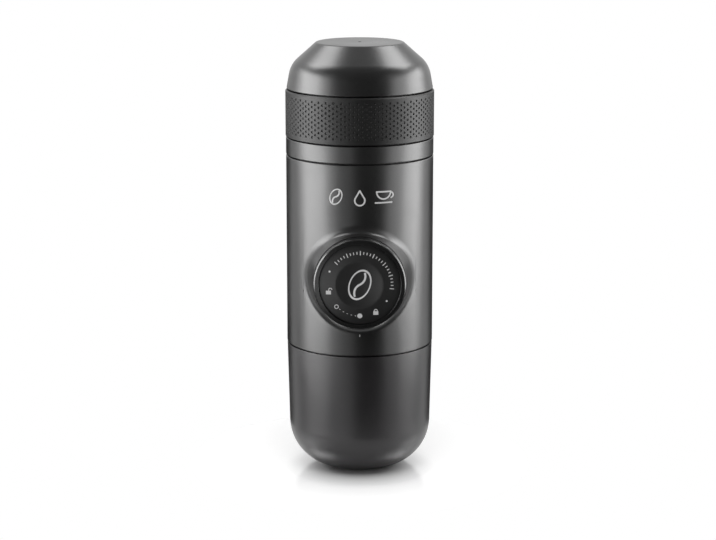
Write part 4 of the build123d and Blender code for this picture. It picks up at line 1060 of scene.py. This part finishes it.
# %% The print on the body
PRINT_HEIGHT = 117.0
PRINT_SPACING = 9.6
PRINT_STROKE = 0.62
BODY_BEAN = (6.4, 4.6, PRINT_STROKE, -28.0)  # height, width, stroke and lean
DROP_HEIGHT = 6.6
CUP_HEIGHT = 5.6
INDEX_HEIGHT = 61.0
INDEX_BAR = (0.9, 0.3)  # length and width


def add_drop(bm, x, y, height, stroke):
    """A drop of water: a round belly and two straight flanks that meet in a tip."""
    belly = height * 0.3
    low = y - height / 2 + belly
    flank_angle = 30.0
    add_arc(bm, x, low, belly, stroke, 180 - flank_angle, 360 + flank_angle, steps=28)
    tip = low + belly / math.sin(math.radians(flank_angle))
    for side in (-1, 1):
        foot_x = side * belly * math.cos(math.radians(flank_angle))
        foot_y = low + belly * math.sin(math.radians(flank_angle)) - y
        run = Vector((-foot_x, tip - y - foot_y))
        add_bar(bm, x + foot_x / 2, y + (foot_y + tip - y) / 2, run.length + stroke * 0.4, stroke,
                math.degrees(math.atan2(run.y, run.x)))


def add_cup(bm, x, y, height, stroke):
    """A cup on its saucer, seen from the side."""
    half = height * 0.52
    add_bar(bm, x, y + height * 0.36, 2 * half + stroke, stroke)
    add_arc(bm, x, y + height * 0.36, half, stroke, 180, 360, steps=24)
    add_arc(bm, x + half, y + height * 0.12, height * 0.2, stroke * 0.9, -90, 90, steps=12)
    add_bar(bm, x, y - height * 0.42, height * 1.3, stroke)


body_print = bmesh.new()
add_bean(body_print, -PRINT_SPACING, PRINT_HEIGHT, *BODY_BEAN)
add_drop(body_print, 0, PRINT_HEIGHT, DROP_HEIGHT, PRINT_STROKE)
add_cup(body_print, PRINT_SPACING, PRINT_HEIGHT, CUP_HEIGHT, PRINT_STROKE)
add_bar(body_print, 0, INDEX_HEIGHT, *INDEX_BAR, 90)
bmesh.ops.subdivide_edges(body_print, edges=body_print.edges, cuts=1, use_grid_fill=True)
bmesh.ops.recalc_face_normals(body_print, faces=body_print.faces)
for vertex in body_print.verts:
    vertex.co.x -= math.pi / 2 * HOUSING.radius
    vertex.co.z = INK
bend(body_print, HOUSING.radius)
make_piece("body_print", thicken(body_print), print_ink, "main_body")

# %% [markdown]
# ## The springs of the two valves
#
# Each valve ball is held on its seat by a small coil spring, which the ball squeezes as it lifts. The wire
# is a small circle that spin winds upwards.

# %% Two coils for the valve springs
COIL_RADIUS = 1.8
COIL_WIRE = 0.25  # radius of the wire
COIL_WIRE_SIDES = 10
COIL_TURNS = 6
COIL_STEPS = 24  # per turn


def valve_coil(name):
    """The coil that stands in for a valve's spring, between the heights that the spring has."""
    corners = [Vector(corner) / MM for corner in frame["nodes"][name].bound_box]
    low = min(corner.z for corner in corners)
    high = max(corner.z for corner in corners)
    middle = sum(corner.y for corner in corners) / len(corners)
    bm = bmesh.new()
    upright = Matrix.Rotation(math.pi / 2, 4, "X")
    bmesh.ops.create_circle(
        bm, cap_ends=True, segments=COIL_WIRE_SIDES, radius=COIL_WIRE, matrix=upright
    )
    bmesh.ops.translate(bm, vec=(COIL_RADIUS, 0, low + COIL_WIRE), verts=bm.verts)
    steps = COIL_TURNS * COIL_STEPS
    climb = (high - low - 2 * COIL_WIRE) / steps
    spin_about_z(bm, bm.verts[:] + bm.edges[:] + bm.faces[:], math.tau * COIL_TURNS, steps,
                 dvec=(0, 0, climb))
    clean(bm)
    bmesh.ops.translate(bm, vec=(0, middle, 0), verts=bm.verts)
    coil = make_piece(name + "_coil", bm, steel, "main_body", name)
    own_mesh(coil)


valve_coil("inlet_spring")
valve_coil("outlet_spring")

# %% [markdown]
# ## Finishes for the construction's own pieces
#
# The other twenty-eight nodes keep the meshes that they came with, because their shape is right. Each has a
# material slot in the record, and the slot says which finish it takes. The finish is linked to the object
# and not to its mesh, so the mesh itself isn't touched.

# %% One finish for each slot
SLOT_FINISH = {
    "shell": shell_plastic, "tank": tank_plastic, "cup": cup_plastic, "grip": grip_plastic,
    "knob": knob_plastic, "knob_face": face_plastic, "frame": frame_plastic, "valve_body": valve_plastic,
    "outlet": outlet_plastic, "scoop": scoop_plastic, "steel": steel, "seal": rubber,
    "soft_seal": silicone, "pump": pump_plastic,
}
for subpart in frame["record"]["subparts"]:
    node = frame["nodes"][subpart["node"]]
    for slot in node.material_slots:
        slot.link = "OBJECT"
        slot.material = SLOT_FINISH[subpart["material_slot"]]

# %% [markdown]
# ## The studio floor
#
# The maker stands on a small white table. Its top shows a soft reflection that fades downwards, and a
# shadow where the foot touches, partly real and partly painted. Seen directly or in a reflection it glows a
# little, which makes it pure white, but as a source of light for the object it is only a pale diffuse
# surface. The glow is left out in a disc a little in front of the foot. That paints a contact shadow there
# on top of the real one, and it darkens the table that the tank mirrors. The mirroring fades out towards
# the table's edge, so that the edge doesn't show.
#
# The table is a child of the tank. When the tank is unscrewed it comes down, and the table goes with it,
# so that the tank still stands on it.

# %% The finish of the table top
def seen_rays(tree):
    """One for rays that show the background: straight from the camera, mirrored, or through glass."""
    path = place(tree, "LightPath").outputs
    first = place(tree, "Math", {0: path["Is Camera Ray"], 1: path["Is Glossy Ray"]}, operation="MAXIMUM")
    both = place(tree, "Math", {0: first.outputs[0], 1: path["Is Transmission Ray"]}, operation="MAXIMUM")
    return both.outputs[0]


TABLE_GLOW = 0.53
# A disc a little in front of the foot gets no glow, and the glow comes in between the two distances below: a
# painted contact shadow.
PAINTED_SHADOW_FADE = (0.012, 0.031)  # distances from the foot's shade between which the glow comes in
PAINTED_SHADOW_CENTRE = (0, -0.008, 0)
TABLE_SHINE = 0.30
SHINE_FADE = (0.026, 0.062)  # distances from the middle between which the mirroring goes out
SHINE_ROUGHNESS = 0.16

table_finish, tree, shader = start_material("table_finish")
tree.nodes.remove(shader)
diffuse = place(tree, "BsdfDiffuse", {"Color": (0.82, 0.82, 0.82, 1)}).outputs[0]
spot = place(tree, "TexCoord").outputs["Object"]
from_foot = place(tree, "VectorMath", {0: spot, 1: PAINTED_SHADOW_CENTRE}, operation="DISTANCE").outputs["Value"]
# Painted contact shadow: the glow is none near the foot and full further away.
glow_with_painted_shadow = place(tree, "MapRange", {
    "Value": from_foot, "From Min": PAINTED_SHADOW_FADE[0], "From Max": PAINTED_SHADOW_FADE[1], "To Max": TABLE_GLOW,
}).outputs[0]
glow = place(tree, "Emission", {"Color": (1, 1, 1, 1), "Strength": glow_with_painted_shadow}).outputs[0]
lit = place(tree, "AddShader", {0: diffuse, 1: glow}).outputs[0]
mirror = {"Color": (0.95, 0.95, 0.95, 1), "Roughness": SHINE_ROUGHNESS}
shiny = place(tree, "BsdfGlossy", mirror).outputs[0]
reach = place(tree, "VectorMath", {0: spot}, operation="LENGTH").outputs["Value"]
shine = place(tree, "MapRange", {
    "Value": reach, "From Min": SHINE_FADE[0], "From Max": SHINE_FADE[1],
    "To Min": TABLE_SHINE, "To Max": 0.0,
}).outputs[0]
polished = place(tree, "MixShader", {"Fac": shine, 1: lit, 2: shiny}).outputs[0]
chosen = place(tree, "MixShader", {"Fac": seen_rays(tree), 1: diffuse, 2: polished}).outputs[0]
tree.links.new(chosen, tree.nodes["Material Output"].inputs["Surface"])
print("finish:", table_finish.name)

# %% A round table top under the tank
TABLE_RADIUS = 0.07
table_bm = bmesh.new()
bmesh.ops.create_circle(table_bm, cap_ends=True, segments=96, radius=TABLE_RADIUS)
table = make_object("table", table_bm, table_finish)
table.parent = tank_piece
print("table:", 2 * TABLE_RADIUS, "m across")

# %% [markdown]
# ## White world, dark cards
#
# The world is plain white where it is seen or mirrored, and a calm grey where it only gives light. A black
# object in an all-white room looks grey, though, because it mirrors the room. So black cards stand around
# it, out of the picture, with gaps where the highlights should be. The cards are seen by mirrored rays
# alone.

# %% The world
WORLD_LIGHT = 0.36
world = bpy.data.worlds.new("studio")
scene.world = world
world.use_nodes = True
tree = world.node_tree
for node in list(tree.nodes):
    tree.nodes.remove(node)
seen = place(tree, "Background", {"Color": (1, 1, 1, 1), "Strength": 1.0}).outputs[0]
ambient = place(tree, "Background", {"Color": (1, 1, 1, 1), "Strength": WORLD_LIGHT}).outputs[0]
sky = place(tree, "MixShader", {"Fac": seen_rays(tree), 1: ambient, 2: seen}).outputs[0]
place(tree, "OutputWorld", {"Surface": sky})
print("world light:", WORLD_LIGHT)


# %% Cards, each from an edge that is spun about the object
CARD_STEPS = 24


def around_object(azimuth, distance, height):
    """A place at a distance from the object. Azimuth 0 is in front of it, and 90 is on its right."""
    angle = math.radians(azimuth)
    return Vector((math.sin(angle) * distance, -math.cos(angle) * distance, height))


def card_finish(name, brightness):
    """A finish that gives off the same light all over, or none."""
    material, tree, shader = start_material(name)
    tree.nodes.remove(shader)
    light = place(tree, "Emission", {"Color": (1, 1, 1, 1), "Strength": brightness})
    tree.links.new(light.outputs[0], tree.nodes["Material Output"].inputs["Surface"])
    return material


def stand_card(name, start, end, distance, low, high, finish, lean=0.0):
    """A curved card between two azimuths and two heights. Its top is turned by lean about the object."""
    bm = bmesh.new()
    ends = [bm.verts.new(around_object(start, distance, low)),
            bm.verts.new(around_object(start + lean, distance, high))]
    edge = bm.edges.new(ends)
    spin_about_z(bm, ends + [edge], math.radians(end - start), CARD_STEPS)
    card = make_object(name, bm, finish)
    card.visible_camera = False
    card.visible_diffuse = False
    card.visible_shadow = False
    card.visible_transmission = False
    return card


# %% The black cards
black = card_finish("black_card", 0.0)
FAR = 1.3
SIDE_CARDS = (  # name, farther and nearer azimuth, and the two heights
    ("low_card", 112, 46, -1.4, -0.12),
    ("high_card", 98, 46, 1.15, 14.0),
    ("rear_card", 180, 136, -1.4, 0.05),
)
cards = [stand_card("front_card", -47, 48, FAR, -2.4, 14.0, black)]
for side, edge in (("left", -1), ("right", 1)):
    for name, far, near, low, high in SIDE_CARDS:
        cards.append(stand_card(f"{side}_{name}", edge * far, edge * near, FAR, low, high, black))
print("black cards:", len(cards))

# %% [markdown]
# ## Lights
#
# Two tall soft boxes stand close to the object at its sides, and the satin plastic stretches them into the
# two bright bands that show how round the body is. They end a little below the level of the table, so the
# bands fade towards the foot, and their tops are turned further back around the object, so the bands drift
# outwards on the cup. A soft box is brightest in its middle, so each is two glowing cards, a narrow bright
# one in front of a broad dim one. Mirrored rays see them, and they shed no light of their own on the scene.
#
# The light that brings out colour comes from a soft lamp overhead and from the world, at a plain level. The
# other lamps are seen by mirrored rays alone.

# %% Soft boxes at the sides
NEAR = 0.50
BOX_LOW, BOX_HIGH = -0.075, 0.40
BOX_LEAN = 26.0
BEHIND = NEAR + 0.02
BOXES = (  # name, side, nearer and farther azimuth, distance and brightness
    ("left_box", -1, 30, 101, BEHIND, 3.8), ("left_box_middle", -1, 46, 88, NEAR, 11.0),
    ("right_box", 1, 36, 107, BEHIND, 3.8), ("right_box_middle", 1, 64, 98, NEAR, 9.6),
)
for name, side, near, far, distance, brightness in BOXES:
    stand_card(name, side * near, side * far, distance, BOX_LOW, BOX_HIGH, card_finish(name, brightness),
               lean=side * BOX_LEAN)
print("glowing cards:", len(BOXES))

# %% Lamps: one overhead for the colours, two behind for the cup, and a weak one at the front
LAMP_AIM = (0, 0, 0.09)  # the middle of the object
LAMPS = (  # name, azimuth, elevation, distance, size and brightness
    ("overhead_lamp", 0, 66, 1.2, 0.9, 3.2),
    ("left_rear_lamp", -115, 55, 0.95, 0.44, 9.0),
    ("right_rear_lamp", 115, 55, 0.95, 0.44, 9.0),
    ("front_lamp", -24, -12, 0.9, 0.45, 1.2),
)


def soft_lamp(name, azimuth, elevation, distance, size, brightness):
    """A square area lamp that faces the object. Its brightness is the same whatever its size."""
    centre = Vector(LAMP_AIM)
    level = math.cos(math.radians(elevation)) * distance
    rise = math.sin(math.radians(elevation)) * distance
    data = bpy.data.lights.new(name, "AREA")
    data.shape = "SQUARE"
    data.size = size
    data.energy = brightness * math.pi * size**2
    lamp = bpy.data.objects.new(name, data)
    lamp.location = centre + around_object(azimuth, level, rise)
    lamp.rotation_euler = (centre - lamp.location).to_track_quat("-Z", "Y").to_euler()
    lamp.visible_camera = False
    scene.collection.objects.link(lamp)
    return lamp


overhead, *others = [soft_lamp(*lamp) for lamp in LAMPS]
overhead.visible_glossy = False
for lamp in others:
    lamp.visible_diffuse = False
print("lamps:", len(LAMPS))
